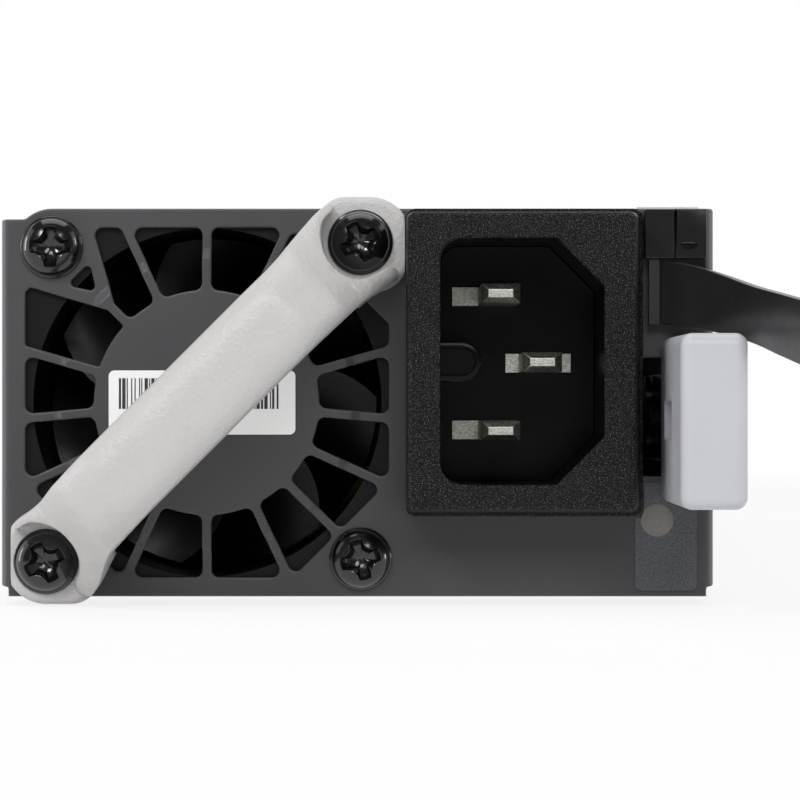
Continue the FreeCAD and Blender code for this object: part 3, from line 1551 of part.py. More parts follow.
def input_fuse():
    """Cylindrical fuse in two end clips."""
    axis_z = board_top + fuse_radius + fuse_rise
    start = fuse_x - fuse_length / 2
    end = fuse_x + fuse_length / 2
    pieces = [rod(fuse_body_radius, start, fuse_y, axis_z, fuse_length, ALONG_X)]
    for cap_start, clip_x in ((start, start + fuse_end / 2), (end - fuse_end, end - fuse_end / 2)):
        pieces.append(rod(fuse_radius, cap_start, fuse_y, axis_z, fuse_end, ALONG_X))
        pieces.append(standing(clip_x, fuse_y, board_top, fuse_clip, fuse_radius * 1.6, fuse_rise * 1.7))
    return one_solid(fused(pieces))


def inrush_relay():
    """Sealed relay that bypasses the inrush resistor."""
    case = standing(relay_x, relay_y, board_top, relay_width, relay_depth, relay_height)
    return rounded(case, relay_corner, ALONG_Z)


def bridge_rectifier():
    """Flat rectifier package that stands on edge on its four legs."""
    body = standing(bridge_x, bridge_y, board_top + bridge_rise, bridge_width, bridge_depth, bridge_height)
    hole = rod(bridge_hole_radius, bridge_x, bridge_y - bridge_depth,
               board_top + bridge_rise + bridge_height * 0.775, 2 * bridge_depth)
    legs = []
    for index in range(bridge_leg_count):
        x = bridge_x + (index - (bridge_leg_count - 1) / 2) * bridge_leg_pitch
        legs.append(standing(x, bridge_y, board_top, bridge_leg_width, bridge_leg_depth, bridge_rise + slip))
    return one_solid(fused([body] + legs).cut(hole))


def primary_heatsink():
    """Upright aluminium plate across the board, with fins towards the front."""
    top = board_top + sink_height
    plate = block(-sink_half, sink_half, sink_y, sink_y + sink_base, board_top, top)
    pitch = (2 * sink_half - sink_fin) / (sink_fin_count - 1)
    fins = []
    for index in range(sink_fin_count):
        x = index * pitch - sink_half
        fins.append(block(x, x + sink_fin, sink_y - sink_fin_depth, sink_y + slip,
                          board_top + sink_fin_low, top))
    screw_holes = [rod(transistor_screw_radius + hole_fit, x, sink_y - over, transistor_screw_z(),
                       sink_base + 2 * over) for x in transistor_places()]
    return one_solid(fused([plate] + fins).cut(screw_holes))


def transistor_places():
    """Places across the heatsink of its power transistors."""
    return [(index - (transistor_count - 1) / 2) * transistor_pitch for index in range(transistor_count)]


def transistor_screw_z():
    """Height of the screws through the transistor tabs."""
    return board_top + transistor_rise + transistor_height - transistor_hole_drop


def power_transistor(x, seat_y):
    """One package: a metal tab, a moulded body on it and legs down to the board."""
    low = board_top + transistor_rise
    half_w = transistor_width / 2
    pieces = [block(x - half_w, x + half_w, seat_y, seat_y + transistor_tab, low, low + transistor_height),
              block(x - half_w, x + half_w, seat_y, seat_y + transistor_depth, low,
                    low + transistor_height * 0.6)]
    leg_y = seat_y + transistor_depth * 0.41
    for index in range(transistor_leg_count):
        leg_x = x + (index - (transistor_leg_count - 1) / 2) * transistor_leg_pitch
        pieces.append(standing(leg_x, leg_y, board_top, transistor_leg_width, transistor_leg_depth,
                               transistor_rise + slip))
    hole = rod(transistor_hole_radius, x, seat_y - over, transistor_screw_z(), transistor_depth + 2 * over)
    return one_solid(fused(pieces).cut(hole))


def power_transistors():
    """Packages clamped to the rear face of the heatsink, on straight legs."""
    seat_y = sink_y + sink_base + face_gap
    return grouped([power_transistor(x, seat_y) for x in transistor_places()])


def transistor_screws():
    """Screws that clamp the transistor tabs to the heatsink."""
    start = sink_y + slip
    seat_y = sink_y + sink_base + face_gap + transistor_tab
    z = transistor_screw_z()
    screws = []
    for x in transistor_places():
        head = rod(transistor_screw_head_radius, x, seat_y, z, transistor_screw_head)
        shank = rod(transistor_screw_radius, x, start, z, seat_y - start)
        screws.append(one_solid(fused([head, shank])))
    return grouped(screws)


def bulk_capacitor():
    """Large storage capacitor that lies along the board."""
    axis_z = board_top + bulk_radius + face_gap
    end_y = bulk_y + bulk_length
    can = rod(bulk_radius, bulk_x, bulk_y, axis_z, bulk_length)
    can = can.makeFillet(bulk_edge, [edge for edge in can.Edges if isinstance(edge.Curve, Part.Circle)])
    groove_y = end_y - bulk_neck_inset
    groove = rod(bulk_radius + over, bulk_x, groove_y, axis_z, bulk_neck_width)
    groove = groove.cut(rod(bulk_radius - bulk_neck, bulk_x, groove_y - over, axis_z,
                            bulk_neck_width + 2 * over))
    feet = [standing(bulk_x, y, board_top, bulk_foot_width, bulk_foot_depth, bulk_foot_height)
            for y in (bulk_y + 2 * bulk_foot_depth, end_y - 4 * bulk_foot_depth)]
    return one_solid(fused([can.cut(groove)] + feet))


def transformer_core():
    """Ferrite core of the main transformer: two outer legs, centre leg and yokes."""
    low = board_top + transformer_rise
    height = transformer_height - transformer_rise
    body = standing(transformer_x, transformer_y, low, transformer_width, transformer_core_depth, height)
    reach = (transformer_centre_leg + transformer_window) / 2
    cuts = [standing(transformer_x + side * reach, transformer_y, low + transformer_yoke,
                     transformer_window, transformer_depth, height - 2 * transformer_yoke)
            for side in (-1, 1)]
    return one_solid(body.cut(cuts))


def transformer_winding():
    """Taped winding on its bobbin, around the core's centre leg."""
    width = transformer_centre_leg + 2 * transformer_window - 2 * winding_margin
    low = board_top + transformer_rise + transformer_yoke + winding_margin
    height = transformer_height - transformer_rise - 2 * transformer_yoke - 2 * winding_margin
    coil = standing(transformer_x, transformer_y, low, width, transformer_depth, height)
    coil = rounded(coil, winding_corner, ALONG_Z)
    core_room = standing(transformer_x, transformer_y, low - over, transformer_centre_leg + 2 * winding_gap,
                         transformer_core_depth + 2 * winding_gap, height + 2 * over)
    reach = transformer_depth / 2 - winding_foot_depth * 0.7
    feet = [standing(transformer_x, transformer_y + side * reach, board_top, width * 0.8,
                     winding_foot_depth, low - board_top + over) for side in (-1, 1)]
    return one_solid(fused([coil] + feet).cut(core_room))


def boxed_coil(x, y, width, depth, height):
    """A small square-core coil: core box with its winding showing at both sides."""
    core = standing(x, y, board_top, width, depth * 0.6, height)
    coil = standing(x, y, board_top + height * 0.09, width * 0.72, depth, height * 0.76)
    return one_solid(fused([core, rounded(coil, width * 0.1, ALONG_Z)]))


def resonant_inductor():
    """Series inductor of the resonant stage."""
    return boxed_coil(resonant_x, resonant_y, resonant_width, resonant_depth, resonant_height)


def standby_transformer():
    """Small transformer of the standby supply."""
    return boxed_coil(standby_x, standby_y, standby_width, standby_depth, standby_height)


def output_capacitors():
    """Rows of polymer capacitors beside the card edge."""
    cans = []
    for row in range(out_cap_rows):
        for column in range(out_cap_columns):
            x = (column - (out_cap_columns - 1) / 2) * out_cap_pitch_x
            can = rod(out_cap_radius, x, out_cap_y + row * out_cap_pitch_y, board_top,
                      out_cap_height, ALONG_Z)
            rim = [edge for edge in can.Edges if isinstance(edge.Curve, Part.Circle)
                   and edge.CenterOfMass.z > board_top + out_cap_edge]
            cans.append(can.makeFillet(out_cap_edge, rim))
    return grouped(cans)


def output_busbars():
    """Copper bars that carry the output current to the card edge."""
    return grouped([block(x, x + busbar_thickness, busbar_y, busbar_y + busbar_length, board_top,
                          board_top + busbar_height) for x in busbar_places])


def control_board():
    """Upright daughter board with the control circuits."""
    return block(control_x, control_x + control_thickness, control_y, control_y + control_length,
                 board_top + face_gap, board_top + control_height)


def control_chips():
    """Chips on the inner face of the control board, placed by shares of its length and height."""
    chips = []
    for along, up, length, height in ((0.18, 0.33, 0.12, 0.21), (0.46, 0.5, 0.16, 0.37),
                                      (0.78, 0.3, 0.11, 0.17), (0.92, 0.6, 0.09, 0.25)):
        y = control_y + along * control_length
        low = board_top + (up - height / 2) * control_height
        half = length * control_length / 2
        chips.append(block(control_x - chip_thickness, control_x, y - half, y + half, low,
                           low + height * control_height))
    return grouped(chips)


def fan_plug():
    """Board connector of the fan's leads."""
    housing = standing(plug_x, plug_y, board_top, plug_width, plug_depth, plug_height)
    slot = standing(plug_x, plug_y, board_top + plug_height - plug_slot_depth, plug_width - 2 * plug_wall,
                    plug_depth - 2 * plug_wall, plug_slot_depth + over)
    return one_solid(housing.cut(slot))


def fan_leads():
    """Four leads from the fan's rear to the board connector."""
    end_z = board_top + plug_height - plug_slot_depth + face_gap
    leads = []
    for index in range(fan_lead_count):
        z = fan_lead_low + index * fan_lead_pitch
        y_end = plug_y + (index - (fan_lead_count - 1) / 2) * fan_lead_pitch
        points = [Vec(plug_x, fan_rear_y + face_gap, z), Vec(plug_x, y_end, z), Vec(plug_x, y_end, end_z)]
        leads.append(wire_run(points, fan_lead_radius, fan_lead_bend))
    return grouped(leads)


# ---------------------------------------------------------------- output

PARTS = {
    "front_panel": front_panel, "handle_screws": handle_screws, "fan_screws": fan_screws,
    "pull_handle": pull_handle, "fan_frame": fan_frame, "fan_stator": fan_stator,
    "fan_shaft": fan_shaft, "fan_impeller": fan_impeller, "fan_leads": fan_leads,
    "fan_plug": fan_plug, "inlet_housing": inlet_housing, "inlet_wires": inlet_wires,
    "latch_spring": latch_spring, "latch_cap": latch_cap, "latch_rivets": latch_rivets,
    "strap_anchor": strap_anchor, "strap_root": strap_root, "cord_strap": cord_strap,
    "status_label": status_label, "light_pipe": light_pipe, "status_light": status_light,
    "hub_label": hub_label, "chassis_tray": chassis_tray, "top_cover": top_cover,
    "cover_screws": cover_screws, "grounding_spring": grounding_spring, "main_board": main_board,
    "gold_contacts": gold_contacts, "board_standoffs": board_standoffs, "board_screws": board_screws,
    "insulator_sheet": insulator_sheet, "choke_core": choke_core, "choke_windings": choke_windings,
    "boost_choke_core": boost_choke_core, "boost_choke_winding": boost_choke_winding,
    "film_capacitors": film_capacitors, "disc_capacitors": disc_capacitors, "input_fuse": input_fuse,
    "inrush_relay": inrush_relay, "bridge_rectifier": bridge_rectifier,
    "primary_heatsink": primary_heatsink, "power_transistors": power_transistors,
    "transistor_screws": transistor_screws, "bulk_capacitor": bulk_capacitor,
    "transformer_core": transformer_core, "transformer_winding": transformer_winding,
    "resonant_inductor": resonant_inductor, "standby_transformer": standby_transformer,
    "output_capacitors": output_capacitors, "output_busbars": output_busbars,
    "control_board": control_board, "control_chips": control_chips,
}


def main():
    """Write every sub-part to its own file."""
    os.makedirs("parts", exist_ok=True)
    for name, make in PARTS.items():
        make().exportStep("parts/" + name + ".step")
    for pin_name, place in zip(("line_pin", "neutral_pin", "earth_pin"), pin_places()):
        contact_pin(*place).exportStep("parts/" + pin_name + ".step")


main()
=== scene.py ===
"""Hot swap server power supply: the visible pieces, finishes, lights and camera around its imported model."""
import sys
import logging
import math
import random
from dataclasses import dataclass
from enum import Enum
from typing import Iterable, Optional, Sequence

import bmesh
import bpy
from mathutils import Matrix, Vector


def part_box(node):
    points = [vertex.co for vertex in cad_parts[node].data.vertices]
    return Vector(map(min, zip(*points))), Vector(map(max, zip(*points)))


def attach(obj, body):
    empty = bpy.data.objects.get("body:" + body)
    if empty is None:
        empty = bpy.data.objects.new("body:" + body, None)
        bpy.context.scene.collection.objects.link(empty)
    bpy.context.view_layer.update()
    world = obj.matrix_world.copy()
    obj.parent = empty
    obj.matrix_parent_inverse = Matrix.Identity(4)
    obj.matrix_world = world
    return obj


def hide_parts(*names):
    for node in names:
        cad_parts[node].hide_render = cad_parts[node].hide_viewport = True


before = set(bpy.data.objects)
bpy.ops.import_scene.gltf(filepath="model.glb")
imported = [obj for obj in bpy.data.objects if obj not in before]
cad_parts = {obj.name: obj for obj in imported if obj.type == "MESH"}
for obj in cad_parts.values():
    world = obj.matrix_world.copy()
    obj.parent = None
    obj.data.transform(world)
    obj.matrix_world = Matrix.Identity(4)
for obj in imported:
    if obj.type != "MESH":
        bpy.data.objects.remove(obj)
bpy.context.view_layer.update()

MM = 0.001

log = logging.getLogger("power_supply")


# ---------------------------------------------------------------- small helpers

def mm(*values: float) -> Vector:
    """A point or size given in millimetres, in metres.

    Args:
        values: Three numbers in millimetres.

    Returns:
        The same vector in metres.
    """
    return Vector(values) * MM


def linear(red: int, green: int, blue: int) -> tuple[float, float, float, float]:
    """A display colour from 0 to 255 as the linear colour that shaders take.

    Args:
        red: Red, 0 to 255.
        green: Green, 0 to 255.
        blue: Blue, 0 to 255.

    Returns:
        Linear red, green and blue, and an opacity of 1.
    """
    def channel(value: int) -> float:
        """One channel as a linear value."""
        share = value / 255
        return share / 12.92 if share <= 0.04045 else ((share + 0.055) / 1.055) ** 2.4

    return channel(red), channel(green), channel(blue), 1.0


def eased(share: float) -> float:
    """A share held between 0 and 1 that starts and ends gently."""
    share = min(max(share, 0.0), 1.0)
    return share * share * (3 - 2 * share)


@dataclass(frozen=True)
class Box:
    """Lowest and highest corner of a node, in metres."""

    low: Vector
    high: Vector

    @classmethod
    def of(cls, node: str) -> "Box":
        """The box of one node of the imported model."""
        low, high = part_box(node)
        return cls(low, high)

    @property
    def centre(self) -> Vector:
        """Middle of the box."""
        return (self.low + self.high) / 2

    @property
    def size(self) -> Vector:
        """Length of the box along each axis."""
        return self.high - self.low


class Graph:
    """One material's node tree, with a Principled shader on its output."""

    def __init__(self, name: str) -> None:
        """Makes the material and its shader.

        Args:
            name: Name of the material.
        """
        self.material = bpy.data.materials.new(name)
        self.material.use_nodes = True
        self.tree = self.material.node_tree
        self.shader = self.tree.nodes["Principled BSDF"]
        self._place: Optional[bpy.types.NodeSocket] = None

    def add(self, kind: str, **settings: object) -> bpy.types.Node:
        """Adds a node and sets its properties.

        Args:
            kind: Name of the node type after "ShaderNode".
            settings: Properties of the node.

        Returns:
            The new node.
        """
        node = self.tree.nodes.new("ShaderNode" + kind)
        for name, value in settings.items():
            setattr(node, name, value)
        return node

    def link(self, source: bpy.types.NodeSocket, target: bpy.types.NodeSocket) -> None:
        """Joins two sockets."""
        self.tree.links.new(source, target)

    def place(self, stretch: Sequence[float] = (1, 1, 1)) -> bpy.types.NodeSocket:
        """Position on the object in millimetres.

        Args:
            stretch: Factor on the pattern along each axis.

        Returns:
            The vector to sample a pattern with.
        """
        if self._place is None:
            self._place = self.add("TexCoord").outputs["Object"]
        mapping = self.add("Mapping")
        mapping.inputs["Scale"].default_value = [factor / MM for factor in stretch]
        self.link(self._place, mapping.inputs["Vector"])
        return mapping.outputs["Vector"]

    def noise(self, scale: float, detail: float = 3.0, roughness: float = 0.5,
              stretch: Sequence[float] = (1, 1, 1)) -> bpy.types.NodeSocket:
        """A noise pattern from 0 to 1.

        Args:
            scale: Number of cells per millimetre.
            detail: Octaves of finer noise.
            roughness: Strength of the finer noise.
            stretch: Factor on the pattern along each axis.

        Returns:
            The pattern's value.
        """
        node = self.add("TexNoise")
        node.inputs["Scale"].default_value = scale
        node.inputs["Detail"].default_value = detail
        node.inputs["Roughness"].default_value = roughness
        self.link(self.place(stretch), node.inputs["Vector"])
        return node.outputs["Fac"]

    def cells(self, scale: float, feature: str = "F1", output: str = "Distance",
              stretch: Sequence[float] = (1, 1, 1)) -> bpy.types.NodeSocket:
        """A pattern of irregular cells.

        Args:
            scale: Number of cells per millimetre.
            feature: What is measured in each cell.
            output: Which of the node's outputs is read.
            stretch: Factor on the pattern along each axis.

        Returns:
            The pattern's value or colour.
        """
        node = self.add("TexVoronoi", feature=feature)
        node.inputs["Scale"].default_value = scale
        self.link(self.place(stretch), node.inputs["Vector"])
        return node.outputs[output]

    def ramp(self, source: bpy.types.NodeSocket, stops: Sequence[tuple[float, Sequence[float]]],
             ) -> bpy.types.NodeSocket:
        """Colours along a value.

        Args:
            source: The value to read.
            stops: Places from 0 to 1, each with its colour.

        Returns:
            The colour at the value.
        """
        node = self.add("ValToRGB")
        elements = node.color_ramp.elements
        while len(elements) < len(stops):
            elements.new(0.5)
        for element, (position, colour) in zip(elements, stops):
            element.position = position
            element.color = colour
        self.link(source, node.inputs["Fac"])
        return node.outputs["Color"]

    def spread(self, source: bpy.types.NodeSocket, low: float, high: float,
               start: float = 0.0, end: float = 1.0) -> bpy.types.NodeSocket:
        """A value moved from one range to another.

        Args:
            source: The value to read.
            low: Result at the start of the range.
            high: Result at its end.
            start: Where the range starts.
            end: Where the range ends.

        Returns:
            The new value.
        """
        node = self.add("MapRange")
        node.inputs["From Min"].default_value = start
        node.inputs["From Max"].default_value = end
        node.inputs["To Min"].default_value = low
        node.inputs["To Max"].default_value = high
        self.link(source, node.inputs["Value"])
        return node.outputs["Result"]

    def blend(self, factor: bpy.types.NodeSocket, first: object, second: object,
              mode: str = "MIX") -> bpy.types.NodeSocket:
        """Two colours mixed by a factor.

        Args:
            factor: 0 gives the first colour and 1 the second.
            first: A colour or a socket.
            second: A colour or a socket.
            mode: How the two are combined.

        Returns:
            The mixed colour.
        """
        node = self.add("Mix", data_type="RGBA", blend_type=mode)
        self.link(factor, node.inputs["Factor"])
        for value, name in ((first, "A"), (second, "B")):
            socket = next(s for s in node.inputs if s.name == name and s.type == "RGBA")
            if isinstance(value, bpy.types.NodeSocket):
                self.link(value, socket)
            else:
                socket.default_value = value
        return next(s for s in node.outputs if s.type == "RGBA")

    def bump(self, height: bpy.types.NodeSocket, depth: float, strength: float = 1.0,
             under: Optional[bpy.types.NodeSocket] = None) -> bpy.types.NodeSocket:
        """Relief on the surface.

        Args:
            height: The relief from 0 to 1.
            depth: Its full height in millimetres.
            strength: How strongly it tilts the surface.
            under: Another relief that this one lies on.

        Returns:
            The surface direction.
        """
        node = self.add("Bump")
        node.inputs["Distance"].default_value = depth * MM
        node.inputs["Strength"].default_value = strength
        self.link(height, node.inputs["Height"])
        if under is not None:
            self.link(under, node.inputs["Normal"])
        return node.outputs["Normal"]

    def finish(self, colour: Optional[object] = None, roughness: Optional[object] = None,
               normal: Optional[bpy.types.NodeSocket] = None, **fixed: float) -> bpy.types.Material:
        """Connects what was built to the shader.

        Args:
            colour: Base colour, fixed or from a socket.
            roughness: Roughness, fixed or from a socket.
            normal: Surface direction from a relief.
            fixed: Other sockets of the shader, with underscores for spaces.

        Returns:
            The finished material.
        """
        for value, name in ((colour, "Base Color"), (roughness, "Roughness")):
            if isinstance(value, bpy.types.NodeSocket):
                self.link(value, self.shader.inputs[name])
            elif value is not None:
                self.shader.inputs[name].default_value = value
        if normal is not None:
            self.link(normal, self.shader.inputs["Normal"])
        for name, value in fixed.items():
            self.shader.inputs[name.replace("_", " ")].default_value = value
        return self.material


# ---------------------------------------------------------------- finishes

MADE: dict["Finish", bpy.types.Material] = {}


@dataclass(frozen=True)
class Finish:
    """What a surface is made of. Each finish becomes one material."""

    name: str

    def material(self) -> bpy.types.Material:
        """The finish as a material, made once and shared."""
        if self not in MADE:
            MADE[self] = self.build(Graph(self.name + "_finish"))
        return MADE[self]

    def build(self, graph: Graph) -> bpy.types.Material:
        """Fills in the material's nodes."""
        raise NotImplementedError


@dataclass(frozen=True)
class Paint(Finish):
    """Powder paint on sheet metal: an even satin coat with a fine orange peel, and a painted sheen that makes
    the colour paler on slanting rims.
    """

    colour: tuple[int, int, int]
    roughness: float = 0.4
    peel_per_mm: float = 2.2
    peel_depth: float = 0.006
    sheen: float = 0.4
    # Colour factor of the painted sheen on slanting rims.
    painted_sheen: float = 1.4

    def build(self, graph: Graph) -> bpy.types.Material:
        """Shades the coat slightly unevenly, lays the orange peel over it and paints a sheen: the colour
        turns paler where the surface slants away from the view.
        """
        low = linear(*(round(value * 0.95) for value in self.colour))
        high = linear(*(round(value * 1.05) for value in self.colour))
        colour = graph.ramp(graph.noise(0.05, 4), [(0.3, low), (0.7, high)])
        roughness = graph.spread(graph.noise(0.4, 3), self.roughness - 0.05, self.roughness + 0.05)
        normal = graph.bump(graph.noise(self.peel_per_mm, 2), self.peel_depth)
        # Painted sheen: the colour blends towards a paler tone as the surface slants away from the view,
        # standing in for light reflected on rims and bends.
        slant = graph.add("LayerWeight")
        slant.inputs["Blend"].default_value = 0.5
        painted_sheen = graph.spread(slant.outputs["Facing"], 0.0, 1.0, 0.04, 0.5)
        pale = linear(*(round(value * self.painted_sheen) for value in self.colour))
        coat = graph.blend(painted_sheen, colour, pale)
        return graph.finish(coat, roughness, normal, Specular_IOR_Level=self.sheen)


@dataclass(frozen=True)
class Plastic(Finish):
    """Moulded plastic with a grained skin and a faintly uneven colour."""

    colour: tuple[int, int, int]
    roughness: float = 0.4
    grain_per_mm: float = 5.0
    grain_depth: float = 0.008
    unevenness: float = 0.04
    subsurface: float = 0.0
    gloss: float = 0.5

    def build(self, graph: Graph) -> bpy.types.Material:
        """Mottles the colour and grains the skin."""
        low = linear(*(round(value * (1 - self.unevenness)) for value in self.colour))
        high = linear(*(min(255, round(value * (1 + self.unevenness))) for value in self.colour))
        colour = graph.ramp(graph.noise(0.12, 5), [(0.3, low), (0.7, high)])
        roughness = graph.spread(graph.noise(0.7, 4), self.roughness - 0.06, self.roughness + 0.06)
        normal = graph.bump(graph.noise(self.grain_per_mm, 3, 0.6), self.grain_depth)
        fixed = {"Subsurface_Weight": self.subsurface, "Subsurface_Scale": 0.5 * MM,
                 "Specular_IOR_Level": self.gloss}
        return graph.finish(colour, roughness, normal, **fixed)


@dataclass(frozen=True)
class SparkPlastic(Finish):
    """Plastic from a spark eroded mould: coarse pits, with painted shade in the pits and painted glints on
    their rims.
    """

    colour: tuple[int, int, int]
    pits_per_mm: float = 4.4
    pit_depth: float = 0.2
    roughness: float = 0.3
    gloss: float = 0.2
    # Colour factor of the painted glints on the pit rims.
    painted_glint: float = 13.0

    def build(self, graph: Graph) -> bpy.types.Material:
        """Layers two sizes of pit over each other, and paints the colour darker where the fine relief is low
        and much paler where it is high.
        """
        pits = graph.noise(self.pits_per_mm, 2, 0.5)
        grain = graph.noise(self.pits_per_mm * 1.9, 3, 0.6)
        # Painted shade and painted glints: the colour follows the fine relief, dark in the pits and pale on
        # their rims where light would catch.
        dark = linear(*(round(value * 0.6) for value in self.colour))
        pale = linear(*(min(255, round(value * self.painted_glint)) for value in self.colour))
        colour = graph.ramp(grain, [(0.5, dark), (0.57, linear(*self.colour)), (0.64, pale)])
        coarse = graph.bump(pits, self.pit_depth)
        normal = graph.bump(grain, self.pit_depth * 0.5, 1.0, coarse)
        return graph.finish(colour, self.roughness, normal, Specular_IOR_Level=self.gloss)


@dataclass(frozen=True)
class Metal(Finish):
    """Bare or plated metal with fine rolling or drawing marks along one axis."""

    colour: tuple[int, int, int]
    roughness: float = 0.28
    marks: tuple[float, float, float] = (1.0, 8.0, 8.0)
    mark_depth: float = 0.003
    coat: float = 0.0
    shade: float = 0.9

    def build(self, graph: Graph) -> bpy.types.Material:
        """Stretches noise along the marks for the relief and the roughness."""
        marks = graph.noise(1.6, 4, 0.6, self.marks)
        low = linear(*(round(value * self.shade) for value in self.colour))
        colour = graph.ramp(marks, [(0.3, low), (0.7, linear(*self.colour))])
        roughness = graph.spread(marks, self.roughness - 0.07, self.roughness + 0.1)
        normal = graph.bump(marks, self.mark_depth)
        return graph.finish(colour, roughness, normal, Metallic=1.0, Coat_Weight=self.coat,
                            Coat_Roughness=0.1)


@dataclass(frozen=True)
class Spangle(Finish):
    """Hot dip galvanised sheet: crystal flakes of slightly different brightness."""

    pale: tuple[int, int, int] = (172, 175, 178)
    dull: tuple[int, int, int] = (157, 160, 165)
    flakes_per_mm: float = 0.3

    def build(self, graph: Graph) -> bpy.types.Material:
        """Gives every flake its own brightness and roughness."""
        flakes = graph.add("SeparateColor")
        graph.link(graph.cells(self.flakes_per_mm, output="Color"), flakes.inputs["Color"])
        shade = flakes.outputs["Red"]
        colour = graph.ramp(shade, [(0.0, linear(*self.dull)), (1.0, linear(*self.pale))])
        roughness = graph.spread(flakes.outputs["Green"], 0.46, 0.54)
        normal = graph.bump(graph.noise(1.1, 5, 0.6), 0.004)
        return graph.finish(colour, roughness, normal, Metallic=1.0)


@dataclass(frozen=True)
class BlackFinish(Finish):
    """Black plated steel under a glossy sealing coat."""

    colour: tuple[int, int, int] = (13, 13, 14)
    roughness: float = 0.16

    def build(self, graph: Graph) -> bpy.types.Material:
        """Keeps the plating glossy, with faint wear in its roughness."""
        wear = graph.noise(1.4, 5, 0.65)
        low = linear(*(round(value * 0.7) for value in self.colour))
        colour = graph.ramp(wear, [(0.35, low), (0.7, linear(*self.colour))])
        roughness = graph.spread(wear, self.roughness - 0.06, self.roughness + 0.1)
        normal = graph.bump(graph.noise(4.0, 2), 0.003)
        return graph.finish(colour, roughness, normal, Coat_Weight=0.5, Coat_Roughness=0.06)


@dataclass(frozen=True)
class Board(Finish):
    """Circuit board: copper tracks under a glossy green solder mask."""

    mask: tuple[int, int, int] = (24, 78, 52)
    track: tuple[int, int, int] = (38, 104, 66)
    tracks_per_mm: float = 0.32

    def build(self, graph: Graph) -> bpy.types.Material:
        """Draws the tracks along the borders of blocky cells."""
        node = graph.add("TexVoronoi", feature="F1", distance="MANHATTAN")
        node.inputs["Scale"].default_value = self.tracks_per_mm
        graph.link(graph.place(), node.inputs["Vector"])
        bands = graph.add("Math", operation="PINGPONG")
        bands.inputs[1].default_value = 0.12
        graph.link(node.outputs["Distance"], bands.inputs[0])
        edge = graph.spread(bands.outputs[0], 0.0, 1.0, 0.05, 0.07)
        colour = graph.blend(edge, linear(*self.mask), linear(*self.track))
        normal = graph.bump(edge, 0.03, 0.7, graph.bump(graph.noise(6.0, 2), 0.003))
        roughness = graph.spread(graph.noise(0.3, 3), 0.25, 0.38)
        return graph.finish(colour, roughness, normal, Coat_Weight=0.3, Coat_Roughness=0.12)


@dataclass(frozen=True)
class Paper(Finish):
    """Printed paper or film with a faint fibre and a fine speckle."""

    colour: tuple[int, int, int]
    speckle: float = 0.03
    roughness: float = 0.5
    specks_per_mm: float = 6.0

    def build(self, graph: Graph) -> bpy.types.Material:
        """Speckles the print and roughens the face."""
        low = linear(*(round(value * (1 - self.speckle)) for value in self.colour))
        high = linear(*(min(255, round(value * (1 + self.speckle))) for value in self.colour))
        colour = graph.ramp(graph.noise(self.specks_per_mm, 4, 0.8), [(0.4, low), (0.6, high)])
        roughness = graph.spread(graph.noise(2.0, 3), self.roughness - 0.05, self.roughness + 0.05)
        normal = graph.bump(graph.noise(3.0, 4, 0.7, (1.0, 1.0, 3.0)), 0.005)
        return graph.finish(colour, roughness, normal)


@dataclass(frozen=True)
class Windings(Finish):
    """Enamelled copper wire laid side by side."""

    colour: tuple[int, int, int] = (176, 96, 44)
    turns_per_mm: float = 0.8
    along: str = "Z"

    def build(self, graph: Graph) -> bpy.types.Material:
        """Ridges the surface once for every turn and paints shade in the grooves between turns."""
        wave = graph.add("TexWave", wave_type="BANDS", bands_direction=self.along)
        wave.inputs["Scale"].default_value = self.turns_per_mm * 0.314
        wave.inputs["Distortion"].default_value = 0.4
        graph.link(graph.place(), wave.inputs["Vector"])
        # Painted shade: the colour darkens in the grooves between turns.
        dark = linear(*(round(value * 0.45) for value in self.colour))
        colour = graph.ramp(wave.outputs["Fac"], [(0.1, dark), (0.6, linear(*self.colour))])
        normal = graph.bump(wave.outputs["Fac"], 0.25)
        roughness = graph.spread(graph.noise(2.0, 3), 0.22, 0.34)
        return graph.finish(colour, roughness, normal, Metallic=0.75, Coat_Weight=0.5, Coat_Roughness=0.1)


@dataclass(frozen=True)
class Guide(Finish):
    """Frosted smoky plastic of a light guide."""

    colour: tuple[int, int, int] = (128, 124, 120)

    def build(self, graph: Graph) -> bpy.types.Material:
        """Lets part of the light through a slightly cloudy body."""
        cloud = graph.noise(1.5, 3)
        low = linear(*(round(value * 0.92) for value in self.colour))
        colour = graph.ramp(cloud, [(0.3, low), (0.7, linear(*self.colour))])
        normal = graph.bump(graph.noise(5.0, 2), 0.004)
        roughness = graph.spread(cloud, 0.26, 0.38)
        return graph.finish(colour, roughness, normal, Subsurface_Weight=0.3, Subsurface_Scale=0.6 * MM,
                            IOR=1.49)


PANEL_PAINT = Paint("panel_paint", (70, 70, 72))
HANDLE_PLASTIC = Plastic("handle_plastic", (201, 199, 198), 0.35, 1.9, 0.14, 0.012, 0.03, 0.6)
CAP_PLASTIC = Plastic("cap_plastic", (198, 199, 204), 0.38, 5.0, 0.006, 0.012, 0.03)
BLACK_SCREW = BlackFinish("black_screw")
INLET_PLASTIC = SparkPlastic("inlet_plastic", (8, 8, 8), gloss=0.17)
